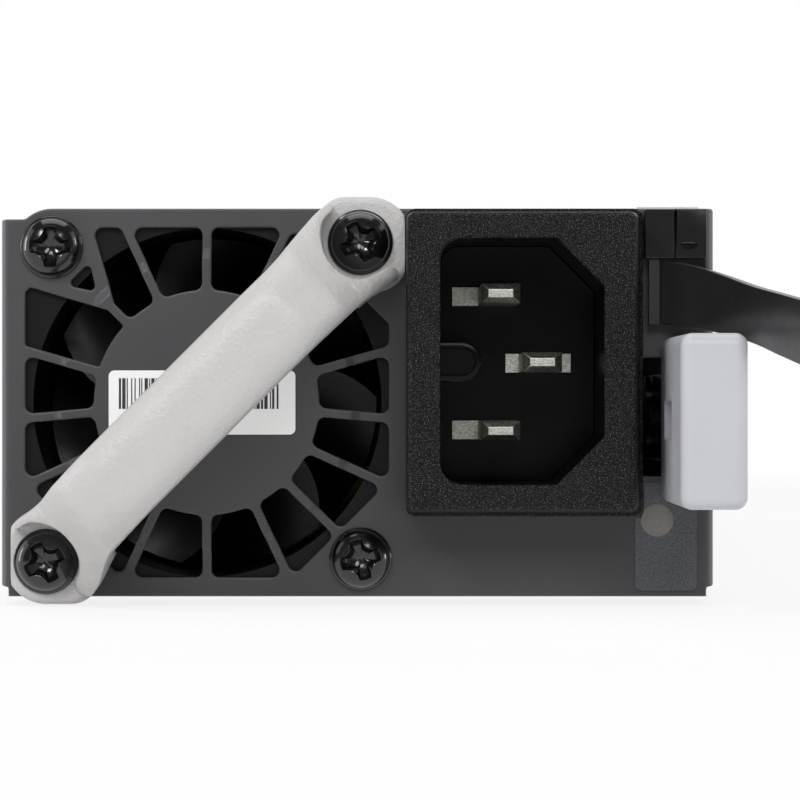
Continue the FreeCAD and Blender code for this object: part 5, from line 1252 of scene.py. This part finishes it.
@dataclass
class ApplianceInlet:
    """Inlet housing with a coarse skin outside and a smooth keyed socket, and its three pins."""

    flange: Corners = Corners(5.015, 29.365, 8.32, 39.92, 1.0)
    root: Corners = Corners(5.015, 29.015, 8.67, 39.57, 0.8)
    face: Corners = Corners(5.135, 28.165, 9.12, 39.12, 0.8)
    socket: Corners = Corners(8.451, 24.849, 11.77, 36.47, 2.3, 4.805)
    body: Corners = Corners(5.85, 27.45, 10.12, 38.12, 0.5)
    panel_y: float = -92.5
    flange_y: float = -94.0
    front_y: float = -102.5
    floor_y: float = -85.5
    back_y: float = -78.5
    rim_round: float = 0.48
    mouth_round: float = 0.2
    key_front_y: float = -101.3
    key_half: float = 2.0
    key_round_x: float = 10.65
    pin_round: float = 0.06

    def build(self) -> None:
        """Makes the housing and rounds the pins."""
        dress(INLET_PLASTIC, "inlet_housing")
        dress(WIRE_JACKET, "inlet_wires")
        model = Model()
        rim, mouth = self.rim_round, self.mouth_round
        rings = [self.body.ring(self.back_y), self.body.ring(self.panel_y - 0.02),
                 self.flange.ring(self.panel_y, -0.05), self.flange.ring(self.panel_y - 0.05),
                 self.flange.ring(self.flange_y + 0.15), self.flange.ring(self.flange_y + 0.04, -0.04),
                 self.flange.ring(self.flange_y, -0.15), self.root.ring(self.flange_y - 0.02, -0.02)]
        for step in range(5):
            turn = math.pi / 2 * step / 4
            depth = self.front_y + rim * (1 - math.sin(turn))
            rings.append(self.face.ring(depth, -rim * (1 - math.cos(turn))))
        for step in range(4):
            turn = math.pi / 2 * step / 3
            depth = self.front_y + mouth * (1 - math.cos(turn))
            rings.append(self.socket.ring(depth, mouth * (1 - math.sin(turn))))
        rings += [self.socket.ring(self.floor_y - 0.1), self.socket.ring(self.floor_y, -0.1)]
        faces = model.skin(rings)
        # The socket's inside and the key get the smooth socket plastic, whose darker colour is painted shade
        # in the deep socket.
        inner = self.front_y + 0.5 * mouth
        inside = [face for face in faces
                  if all(inner < vert.co.y / MM < self.floor_y + 0.01 for vert in face.verts)
                  and face.calc_center_median().y < (self.floor_y + 0.01) * MM and self.within(face)]
        inside += self.key(model)
        model.paint(inside, SOCKET_PLASTIC_AND_SHADE)
        model.piece("inlet_housing_moulded", "case", "inlet_plastic", INLET_PLASTIC, ["inlet_housing"])
        for node in ("line_pin", "neutral_pin", "earth_pin"):
            soft_copy(node, "pin_metal", PIN_METAL, self.pin_round)

    def within(self, face: bmesh.types.BMFace) -> bool:
        """Whether a face lies wholly inside the socket."""
        slack, mouth = 0.02, self.socket
        return all(mouth.left - slack < vert.co.x / MM < mouth.right + slack
                   and mouth.low - slack < vert.co.z / MM < mouth.high + slack for vert in face.verts)

    def key(self, model: Model) -> list[bmesh.types.BMFace]:
        """Adds the key, a half round ridge along the socket's left wall.

        Args:
            model: The housing.

        Returns:
            The key's faces.
        """
        middle = (self.socket.low + self.socket.high) / 2
        start = self.socket.left - 0.4
        rings = []
        front = self.key_front_y
        for depth, shrink in ((self.floor_y + 0.4, 0.0), (front + 0.4, 0.0), (front + 0.12, 0.06),
                              (front, 0.24), (front, 0.6), (front + 0.16, 0.7)):
            radius = self.key_half - shrink
            points = [mm(start, depth, middle + radius)]
            for step in range(17):
                turn = math.pi / 2 - math.pi * step / 16
                points.append(mm(self.key_round_x + radius * math.cos(turn), depth,
                                 middle + radius * math.sin(turn)))
            points.append(mm(start, depth, middle - radius))
            rings.append(points)
        return model.skin(rings)


@dataclass
class StrapAnchor:
    """Black block in two halves that holds the cord strap, with a dark oval on its face as painted shade of a
    recess and a dark block below it as painted shade under the strap.
    """

    seam: float = 32.58
    seam_gap: float = 0.08
    edge_round: float = 0.14
    slope: float = 0.4
    painted_shade_oval: tuple[float, float] = (34.0, 36.15)
    painted_shade_oval_half: tuple[float, float] = (0.95, 0.4)
    painted_shade_block: tuple[float, float] = (33.3, 34.7)
    painted_shade_block_rise: float = 0.55

    def build(self) -> None:
        """Makes both halves, the dark oval and the dark block below as one piece; the oval and the block
        below are painted shade.
        """
        dress(ANCHOR_PLASTIC, "strap_anchor")
        box = Box.of("strap_anchor")
        panel = Box.of("hub_label").high.y + 0.8 * MM
        model = Model()
        seam, gap = self.seam * MM, self.seam_gap * MM / 2
        back = panel - 0.01 * MM
        model.block(box.low, Vector((seam - gap, back, box.high.z)))
        corners = model.block(Vector((seam + gap, box.low.y, box.low.z)),
                              Vector((box.high.x, back, box.high.z)))
        middle = Vector((box.high.x, box.low.y, box.high.z - 2.8 * MM))
        faces = list({face for vert in corners for face in vert.link_faces})
        edges = list({edge for vert in corners for edge in vert.link_edges})
        across = Vector((2.8 * MM, 0.0, box.high.x - seam - gap)).normalized()
        bmesh.ops.bisect_plane(model.mesh, geom=corners + edges + faces, plane_co=middle, plane_no=across)
        for vert in model.mesh.verts:
            if (vert.co - Vector((box.high.x, box.low.y, box.high.z))).length < 0.01 * MM:
                vert.co.y += self.slope * MM
        model.softened(self.edge_round, 2, 40)
        # Painted shade: a dark block below the anchor stands for the shadow between the anchor and the strap.
        low, high = self.painted_shade_block
        model.block(Vector((self.seam * MM, panel - self.painted_shade_block_rise * MM, low * MM)),
                    Vector((box.high.x, back, high * MM)))
        # Painted shade: a very dark oval stands for the shade in a recess of the anchor.
        across, up = self.painted_shade_oval
        wide, tall = self.painted_shade_oval_half
        foot = Vector((0, 0, 0))
        profile = [(0.1, 0.09), (0.8, 0.09), (0.95, 0.05), (1.0, -0.2), (0.1, -0.2)]
        made = model.turned(profile, foot, Vector((0, -1, 0)), 40)
        verts = list({vert for face in made for vert in face.verts})
        scale = Matrix.Diagonal((wide, 1.0, tall, 1.0))
        place = Matrix.Translation((across * MM, box.low.y, up * MM))
        bmesh.ops.transform(model.mesh, matrix=place @ scale, verts=verts)
        model.paint(made, SOCKET_PLASTIC_AND_SHADE)
        model.piece("strap_anchor_moulded", "case", "nylon", ANCHOR_PLASTIC, ["strap_anchor"])


@dataclass
class HubLabel:
    """White label on the grille hub with a row of upright bars and no wording."""

    bar_low: float = -0.66
    bar_high: float = 2.5
    bar_left: float = 1.05
    bar_right: float = 1.75
    unit: float = 0.115
    raise_by: float = 0.02
    seed: int = 7

    def build(self) -> None:
        """Rounds the label's edge and prints the bars on it."""
        box = Box.of("hub_label")
        soft_copy("hub_label", "paper", LABEL_PAPER, 0.03)
        rng = random.Random(self.seed)
        model = Model()
        across = box.low.x / MM + self.bar_left
        end = box.high.x / MM - self.bar_right
        centre = box.centre.z / MM
        face = box.low.y / MM
        while across < end:
            width = self.unit * rng.choice((1, 1, 2, 3))
            model.block(mm(across, face - self.raise_by, centre + self.bar_low),
                        mm(min(across + width, end), face + 0.02, centre + self.bar_high))
            across += width + self.unit * rng.choice((1, 1, 2, 2, 3))
        model.piece("hub_label_bars", "case", "paper", LABEL_INK)


@dataclass
class StatusOverlay:
    """Film at the lower right of the panel and the light guide that ends in it."""

    guide_radius: float = 1.66
    rod_radius: float = 1.42
    dome_rise: float = 0.12

    def build(self) -> None:
        """Softens the film and turns the guide with a domed end."""
        dress(LIGHT_GUIDE, "light_pipe")
        dress(PLUG_PLASTIC, "status_light")
        film = Box.of("status_label")
        soft_copy("status_label", "overlay", OVERLAY, 0.03)
        old = Box.of("light_pipe")
        radius, rise = self.guide_radius, self.dome_rise
        end = (old.high.y - film.low.y) / MM
        profile = [(0.05 * radius, -rise), (0.35 * radius, -0.88 * rise), (0.6 * radius, -0.64 * rise),
                   (0.8 * radius, -0.32 * rise), (0.93 * radius, -0.08 * rise), (radius, 0.0), (radius, 0.03),
                   (self.rod_radius, 0.06), (self.rod_radius, end - 0.1), (self.rod_radius - 0.1, end)]
        guide = Model()
        guide.turned(profile, Vector((old.centre.x, film.low.y, old.centre.z)), Vector((0, 1, 0)), 64)
        guide.piece("light_guide_rod", "case", "light_guide", LIGHT_GUIDE, ["light_pipe"])


@dataclass
class FrontPanel:
    """Painted front panel with the fan grille, and the screws that hold the fan and the handle."""

    edge_round: float = 0.25
    handle_screws: tuple[tuple[float, float], tuple[float, float]] = ((-16.36, -16.3), (15.84, 16.42))
    panel_screws: tuple[tuple[float, float], tuple[float, float]] = ((-16.0, 16.0), (15.85, -16.1))
    handle_screw_turns: tuple[float, float] = (-27.0, -27.0)
    panel_screw_turns: tuple[float, float] = (0.0, -15.0)

    def build(self) -> None:
        """Rounds the panel's edges and makes both pairs of screws."""
        soft_copy("front_panel", "panel_paint", PANEL_PAINT, self.edge_round)
        PanHeadScrews(ScrewKind.HANDLE, self.handle_screws, self.handle_screw_turns, 3.36).build()
        PanHeadScrews(ScrewKind.PANEL, self.panel_screws, self.panel_screw_turns).build()


@dataclass
class LatchUnit:
    """Steel latch spring with its rivets and the pale cap that is pressed."""

    cap_round: float = 0.12

    def build(self) -> None:
        """Dresses the spring and rounds the cap."""
        dress(SPRING_STEEL, "latch_spring")
        dress(ZINC_PLATE, "latch_rivets")
        soft_copy("latch_cap", "cap_plastic", CAP_PLASTIC, self.cap_round, "latch")


@dataclass
class CordStrap:
    """Ribbed nylon strap, its root in the panel and the block that holds it."""

    edge_round: float = 0.15

    def build(self) -> None:
        """Rounds the strap and makes its anchor."""
        dress(NYLON, "strap_root")
        soft_copy("cord_strap", "nylon", NYLON, self.edge_round, "strap")
        StrapAnchor().build()


@dataclass
class CaseShell:
    """Zinc plated tray and cover with their screws, contact fingers and the film under the board."""

    sheet_round: float = 0.1
    land_depth: float = 1.25
    land_across: tuple[float, float] = (-34.05, -31.5)
    land_along: tuple[float, float] = (-74.0, -69.0)
    land_low: float = 37.5
    land_steps: int = 4

    def build(self) -> None:
        """Rounds the sheets and dresses the small parts."""
        for node in ("chassis_tray", "top_cover"):
            dress(ZINC_SHEET, node)
            model = Model.copied(node)
            self.press_land(model)
            model.softened(self.sheet_round)
            model.piece(node + "_pressed", "case", "zinc_steel", ZINC_SHEET, [node])
        dress(ZINC_PLATE, "cover_screws")
        dress(CONTACT_STEEL, "grounding_spring")
        dress(INSULATOR_FILM, "insulator_sheet")

    def press_land(self, model: Model) -> None:
        """Lowers the front left corner of a sheet behind the panel's stepped corner.

        Args:
            model: The sheet.
        """
        (left, right), (front, back) = self.land_across, self.land_along
        for step in range(self.land_steps + 1):
            model.cut(mm(left + (right - left) * step / self.land_steps, 0, 0), (1, 0, 0))
        for along in (front, back):
            model.cut(mm(0, along, 0), (0, 1, 0))
        for vert in model.mesh.verts:
            across, along, up = vert.co / MM
            if up > self.land_low:
                ahead = min(max((back - along) / (back - front), 0.0), 1.0)
                vert.co.z -= self.land_depth * MM * eased((right - across) / (right - left)) * ahead


@dataclass
class MainBoard:
    """Circuit board with its card edge, and the brass posts and screws below and above it."""

    def build(self) -> None:
        """Dresses the board and what holds it."""
        dress(BOARD_GREEN, "main_board")
        dress(GOLD, "gold_contacts")
        dress(BRASS, "board_standoffs")
        dress(ZINC_PLATE, "board_screws")


@dataclass
class RingChoke:
    """Ring core with wire wound round one or two stretches of it, turn beside turn."""

    core: str
    winding: str
    core_slot: str
    core_finish: Finish
    hole: float
    stretches: tuple[tuple[float, float], ...]
    turns: int
    wire: float
    clearance: float = 0.12
    core_round: float = 0.5
    around: int = 8
    corner_steps: int = 4

    def build(self) -> None:
        """Rounds the core and winds the wire."""
        soft_copy(self.core, self.core_slot, self.core_finish, self.core_round)
        dress(COPPER_WIRE, self.winding)
        model = Model()
        for start, angle in self.stretches:
            model.skin(self.coil(math.radians(start), math.radians(angle)))
        model.piece(self.winding + "_turns", "case", "copper", ENAMEL_WIRE, [self.winding])

    def section(self) -> list[tuple[float, float, float]]:
        """Points once round the core's section, from the lower outer corner.

        Returns:
            Radius, height and outward direction of each point, in millimetres and radians.
        """
        box = Box.of(self.core)
        rim, low, high = box.size.x / 2 / MM, box.low.z / MM, box.high.z / MM
        away = self.wire + self.clearance
        corners = ((rim, low), (rim, high), (self.hole, high), (self.hole, low))
        points = []
        for quarter, (radius, height) in enumerate(corners, start=-1):
            for step in range(self.corner_steps + 1):
                turn = (quarter + step / self.corner_steps) * math.pi / 2
                points.append((radius + away * math.cos(turn), height + away * math.sin(turn), turn))
        return points

    def coil(self, start: float, angle: float) -> list[list[Vector]]:
        """Rings of points along one wire.

        Args:
            start: Where the wire begins round the core, in radians.
            angle: How far round the core it runs, in radians.

        Returns:
            The rings.
        """
        centre = Box.of(self.core).centre / MM
        section = self.section()
        total = self.turns * len(section)
        rings = []
        for index in range(total):
            radius, height, face = section[index % len(section)]
            place = start + angle * index / (total - 1)
            ring = []
            for step in range(self.around):
                turn = step * math.tau / self.around
                out, aside = self.wire * math.cos(turn), self.wire * math.sin(turn)
                reach = radius + out * math.cos(face)
                ring.append(mm(centre.x + reach * math.cos(place) - aside * math.sin(place),
                               centre.y + reach * math.sin(place) + aside * math.cos(place),
                               height + out * math.sin(face)))
            rings.append(ring)
        return rings


@dataclass
class InputFilter:
    """Fuse, filter choke, capacitors across the line, inrush relay and bridge rectifier."""

    choke_hole: float = 5.0
    choke_wire: float = 0.58
    choke_turns: int = 7
    fuse_body_half: float = 4.95
    fuse_round: float = 0.12
    box_round: float = 0.3
    relay_round: float = 0.35
    bridge_round: float = 0.25
    leg_top: float = 9.35

    def build(self) -> None:
        """Builds and dresses the parts from the inlet to the rectifier."""
        RingChoke("choke_core", "choke_windings", "ferrite", FERRITE, self.choke_hole,
                  ((29.0, 122.0), (209.0, 122.0)), self.choke_turns, self.choke_wire).build()
        soft_copy("film_capacitors", "yellow_tape", FILM_CASE, self.box_round)
        soft_copy("inrush_relay", "ceramic", RELAY_CASE, self.relay_round)
        dress(DISC_COAT, "disc_capacitors")
        self.fuse()
        self.bridge()

    def fuse(self) -> None:
        """The fuse: ceramic body between plated end caps and clips."""
        dress(FUSE_BODY, "input_fuse")
        middle = Box.of("input_fuse").centre.x
        model = Model.copied("input_fuse").softened(self.fuse_round)
        model.paint([face for face in model.mesh.faces
                     if abs(face.calc_center_median().x - middle) < self.fuse_body_half * MM], FUSE_BODY)
        model.piece("input_fuse_capped", "case", "ceramic", ZINC_PLATE, ["input_fuse"])

    def bridge(self) -> None:
        """The rectifier: black body on four plated legs."""
        dress(PACKAGE, "bridge_rectifier")
        model = Model.copied("bridge_rectifier").softened(self.bridge_round)
        model.paint([face for face in model.mesh.faces
                     if face.calc_center_median().z < self.leg_top * MM], ZINC_PLATE)
        model.piece("bridge_rectifier_legged", "case", "black_package", PACKAGE, ["bridge_rectifier"])


@dataclass
class PowerStage:
    """Boost choke, heat sink with its transistors, storage capacitor and transformers."""

    boost_hole: float = 5.99
    boost_wire: float = 0.68
    boost_turns: int = 20
    sink_round: float = 0.1
    transistor_round: float = 0.15
    transistor_leg_top: float = 10.35
    core_round: float = 0.4
    coil_round: float = 0.3
    coil_share: float = 0.3
    can_radius: float = 14.49
    can_edge: float = 1.2
    neck: float = 1.2
    neck_place: float = 33.86
    stripe: float = 0.11
    saddle_size: tuple[float, float, float] = (7.97, 3.0, 2.46)
    saddle_places: tuple[float, float] = (6.0, 26.0)

    def build(self) -> None:
        """Builds and dresses the parts from the boost choke to the transformers."""
        RingChoke("boost_choke_core", "boost_choke_winding", "powder_core", POWDER_CORE, self.boost_hole,
                  ((115.0, 310.0),), self.boost_turns, self.boost_wire).build()
        soft_copy("primary_heatsink", "aluminium", ALUMINIUM, self.sink_round)
        dress(ZINC_PLATE, "transistor_screws")
        self.transistors()
        self.storage_capacitor()
        soft_copy("transformer_core", "ferrite", FERRITE, self.core_round)
        soft_copy("transformer_winding", "yellow_tape", TAPE, self.coil_round)
        for node in ("resonant_inductor", "standby_transformer"):
            self.boxed_coil(node)

    def transistors(self) -> None:
        """The transistors: black bodies on plated legs."""
        dress(PACKAGE, "power_transistors")
        model = Model.copied("power_transistors").softened(self.transistor_round)
        model.paint([face for face in model.mesh.faces
                     if face.calc_center_median().z < self.transistor_leg_top * MM], ZINC_PLATE)
        model.piece("power_transistors_legged", "case", "black_package", PACKAGE, ["power_transistors"])

    def boxed_coil(self, node: str) -> None:
        """A small square core with its taped coil showing at both sides.

        Args:
            node: Name of the node.
        """
        dress(FERRITE, node)
        box = Box.of(node)
        core_half = box.size.y * self.coil_share + 0.05 * MM
        model = Model.copied(node).softened(self.coil_round)
        model.paint([face for face in model.mesh.faces
                     if abs(face.calc_center_median().y - box.centre.y) > core_half], TAPE)
        model.piece(node + "_taped", "case", "ferrite", FERRITE, [node])

    def storage_capacitor(self) -> None:
        """The storage capacitor: sleeved can with a rolled neck and a pale stripe, on two saddles."""
        dress(CAN_SLEEVE, "bulk_capacitor")
        box = Box.of("bulk_capacitor")
        radius, edge, neck, place = self.can_radius, self.can_edge, self.neck, self.neck_place
        length = box.size.y / MM - 0.02
        end = [(0.1, 0.8), (radius - 2.0, 0.8), (radius - 1.9, 0.25), (radius - edge, 0.0),
               (radius - 0.4, 0.3), (radius, edge)]
        groove = [(radius, place - 1.2), (radius - 0.3, place - 0.7), (radius - neck, place - 0.3),
                  (radius - neck, place + 0.3), (radius - 0.3, place + 0.7), (radius, place + 1.2)]
        profile = end + groove + [(across, length - height) for across, height in reversed(end)]
        foot = Vector((box.centre.x, box.low.y + 0.01 * MM, box.high.z - radius * MM - 0.01 * MM))
        model = Model()
        faces = model.turned(profile, foot, Vector((0, 1, 0)), 96)
        ends = [face for face in faces if self.aside(face, foot) < radius - 1.95]
        band = [face for face in faces if self.aside(face, foot) > radius - neck - 0.5
                and abs(self.turn(face, foot) - math.pi * 0.3) < self.stripe]
        model.paint(ends, ALUMINIUM)
        model.paint(band, LABEL_PAPER)
        wide, deep, tall = self.saddle_size
        middle = box.centre.x / MM
        low_y, low_z = box.low.y / MM, box.low.z / MM
        for start in self.saddle_places:
            model.block(mm(middle - wide / 2, low_y + start - deep / 2, low_z + 0.01),
                        mm(middle + wide / 2, low_y + start + deep / 2, low_z + tall))
        model.piece("bulk_capacitor_sleeved", "case", "sleeve", CAN_SLEEVE, ["bulk_capacitor"])

    @staticmethod
    def aside(face: bmesh.types.BMFace, foot: Vector) -> float:
        """Distance of a face's middle from the can's axis, in millimetres."""
        middle = face.calc_center_median() - foot
        return math.hypot(middle.x, middle.z) / MM

    @staticmethod
    def turn(face: bmesh.types.BMFace, foot: Vector) -> float:
        """Direction of a face's middle round the can's axis, in radians."""
        middle = face.calc_center_median() - foot
        return math.atan2(middle.z, middle.x)


@dataclass
class OutputStage:
    """Polymer capacitors, copper bars and the upright control board."""

    can_radius: float = 4.0
    can_height: float = 13.98
    columns: int = 6
    rows: int = 2
    pitch: tuple[float, float] = (9.204, 8.743)
    first_row: float = 77.496
    mark_radius: float = 3.1
    mark_edge: float = 1.0
    chip_round: float = 0.12
    bar_round: float = 0.15

    def build(self) -> None:
        """Builds and dresses the parts beside the card edge."""
        self.capacitors()
        soft_copy("output_busbars", "copper", COPPER_BAR, self.bar_round)
        dress(BOARD_GREEN, "control_board")
        soft_copy("control_chips", "black_package", PACKAGE, self.chip_round)

    def capacitors(self) -> None:
        """The cans: a bead above the foot, a rounded rim and a printed mark on top."""
        dress(ALUMINIUM, "output_capacitors")
        low = Box.of("output_capacitors").low.z
        radius, height = self.can_radius, self.can_height
        profile = [(0.1, 0.02), (radius - 0.4, 0.02), (radius - 0.08, 0.3), (radius, 0.7), (radius, 1.7),
                   (radius - 0.12, 1.95), (radius - 0.42, 2.2), (radius - 0.42, 2.5), (radius - 0.12, 2.75),
                   (radius, 3.0), (radius, height - 0.8), (radius - 0.1, height - 0.35),
                   (radius - 0.35, height - 0.1), (radius - 0.7, height), (self.mark_radius, height),
                   (0.1, height)]
        model = Model()
        marks = []
        for row in range(self.rows):
            for column in range(self.columns):
                across = (column - (self.columns - 1) / 2) * self.pitch[0]
                foot = Vector((across * MM, (self.first_row + row * self.pitch[1]) * MM, low))
                faces = model.turned(profile, foot, Vector((0, 0, 1)), 32)
                marks += [face for face in faces if self.marked(face.calc_center_median() - foot)]
        model.paint(marks, CAN_MARK)
        model.piece("output_capacitors_turned", "case", "aluminium", ALUMINIUM, ["output_capacitors"])

    def marked(self, place: Vector) -> bool:
        """Whether a place, seen from a can's foot, is on the printed mark of its top."""
        near = place.xy.length < (self.mark_radius - 0.4) * MM
        return place.z > (self.can_height - 0.01) * MM and near and place.x < -self.mark_edge * MM


@dataclass
class Studio:
    """Pale floor and cove, soft lamps and the camera."""

    floor_height: float = -0.95
    camera_place: tuple[float, float, float] = (4.4, -427.5, 20.26)
    focal_length: float = 146.23
    sensor: float = 36.0
    ambient: float = 0.14
    near_share: float = 0.85

    def build(self) -> None:
        """Sets up the whole studio."""
        self.backdrop()
        self.world()
        self.lamp("key", (-460, -760, 620), (240, 240), 3.1)
        self.lamp("overhead", (0, 40, 620), (600, 500), 1.5)
        self.lamp("front", (80, -900, 500), (620, 300), 3.4)
        self.lamp("left strip", (-520, -40, 90), (60, 300), 0.45)
        self.lamp("right strip", (520, -120, 120), (60, 300), 0.45)
        self.camera()

    def white(self, name: str) -> bpy.types.Material:
        """White that is fully bright to the eye and still takes the object's shadow.

        Args:
            name: Name of the material.

        Returns:
            The material.
        """
        graph = Graph(name)
        tint = graph.ramp(graph.noise(0.004, 2), [(0.3, linear(250, 250, 250)), (0.7, linear(255, 255, 255))])
        graph.finish(tint, 0.9, None, Specular_IOR_Level=0.0)
        path = graph.add("LightPath")
        seen = graph.add("Math", operation="MAXIMUM")
        graph.link(path.outputs["Is Camera Ray"], seen.inputs[0])
        graph.link(path.outputs["Is Glossy Ray"], seen.inputs[1])
        through = graph.add("Math", operation="MAXIMUM")
        graph.link(seen.outputs[0], through.inputs[0])
        graph.link(path.outputs["Is Transmission Ray"], through.inputs[1])
        away = graph.add("VectorMath", operation="LENGTH")
        graph.link(graph.place(), away.inputs[0])
        clear = graph.spread(away.outputs["Value"], self.near_share, 1.0, 260.0, 560.0)
        share = graph.add("Math", operation="MULTIPLY")
        graph.link(through.outputs[0], share.inputs[0])
        graph.link(clear, share.inputs[1])
        glow = graph.add("Emission")
        glow.inputs["Strength"].default_value = 1.0
        mix = graph.add("MixShader")
        graph.link(share.outputs[0], mix.inputs[0])
        graph.link(graph.shader.outputs[0], mix.inputs[1])
        graph.link(glow.outputs[0], mix.inputs[2])
        graph.link(mix.outputs[0], graph.tree.nodes["Material Output"].inputs["Surface"])
        return graph.material

    def backdrop(self) -> None:
        """A floor that runs up into a curved wall behind and beside the object."""
        mesh = bmesh.new()
        reach = 1.6
        bmesh.ops.create_circle(mesh, cap_ends=True, cap_tris=False, segments=96, radius=reach)
        rim = [edge for edge in mesh.edges if edge.verts[0].co.y + edge.verts[1].co.y > -0.8 * reach]
        grown = bmesh.ops.extrude_edge_only(mesh, edges=rim)
        wall = [item for item in grown["geom"] if isinstance(item, bmesh.types.BMVert)]
        bmesh.ops.translate(mesh, verts=wall, vec=(0, 0, 1.4))
        bmesh.ops.translate(mesh, verts=mesh.verts, vec=(0, 0, self.floor_height * MM))
        bmesh.ops.recalc_face_normals(mesh, faces=mesh.faces)
        data = bpy.data.meshes.new("backdrop")
        mesh.to_mesh(data)
        mesh.free()
        data.materials.append(self.white("backdrop_white"))
        cove = bpy.data.objects.new("backdrop", data)
        bpy.context.scene.collection.objects.link(cove)

    def world(self) -> None:
        """Even grey room light."""
        world = bpy.data.worlds.new("room")
        bpy.context.scene.world = world
        world.use_nodes = True
        sky = world.node_tree.nodes["Background"]
        sky.inputs["Color"].default_value = (1.0, 1.0, 1.0, 1.0)
        sky.inputs["Strength"].default_value = self.ambient

    def lamp(self, name: str, place: tuple[float, float, float], size: tuple[float, float],
             power: float) -> None:
        """A rectangular soft lamp that faces the front of the object.

        Args:
            name: Name of the lamp.
            place: Its middle in millimetres.
            size: Width and height in millimetres.
            power: Power in watts.
        """
        light = bpy.data.lights.new(name, "AREA")
        light.shape = "RECTANGLE"
        light.size, light.size_y = (value * MM for value in size)
        light.energy = power
        lamp = bpy.data.objects.new(name, light)
        lamp.location = mm(*place)
        target = mm(0, -60, 20)
        lamp.rotation_euler = (target - lamp.location).to_track_quat("-Z", "Y").to_euler()
        bpy.context.scene.collection.objects.link(lamp)

    def camera(self) -> None:
        """The camera, straight in front of the panel."""
        lens = bpy.data.cameras.new("camera")
        lens.lens = self.focal_length
        lens.sensor_width = self.sensor
        lens.clip_start = 0.01
        lens.clip_end = 10.0
        camera = bpy.data.objects.new("camera", lens)
        camera.location = mm(*self.camera_place)
        camera.rotation_euler = (math.pi / 2, 0.0, 0.0)
        bpy.context.scene.collection.objects.link(camera)
        bpy.context.scene.camera = camera


def main() -> None:
    """Builds the power supply's pieces in order, then its studio."""
    logging.basicConfig(level=logging.INFO, format="%(message)s", stream=sys.stdout)
    scene = bpy.context.scene
    scene.view_settings.view_transform = "Standard"
    order = (CaseShell(), FrontPanel(), PullHandle(), FanUnit(), ApplianceInlet(), LatchUnit(), CordStrap(),
             HubLabel(), StatusOverlay(), MainBoard(), InputFilter(), PowerStage(), OutputStage(), Studio())
    for part in order:
        part.build()


if __name__ == "__main__":
    main()
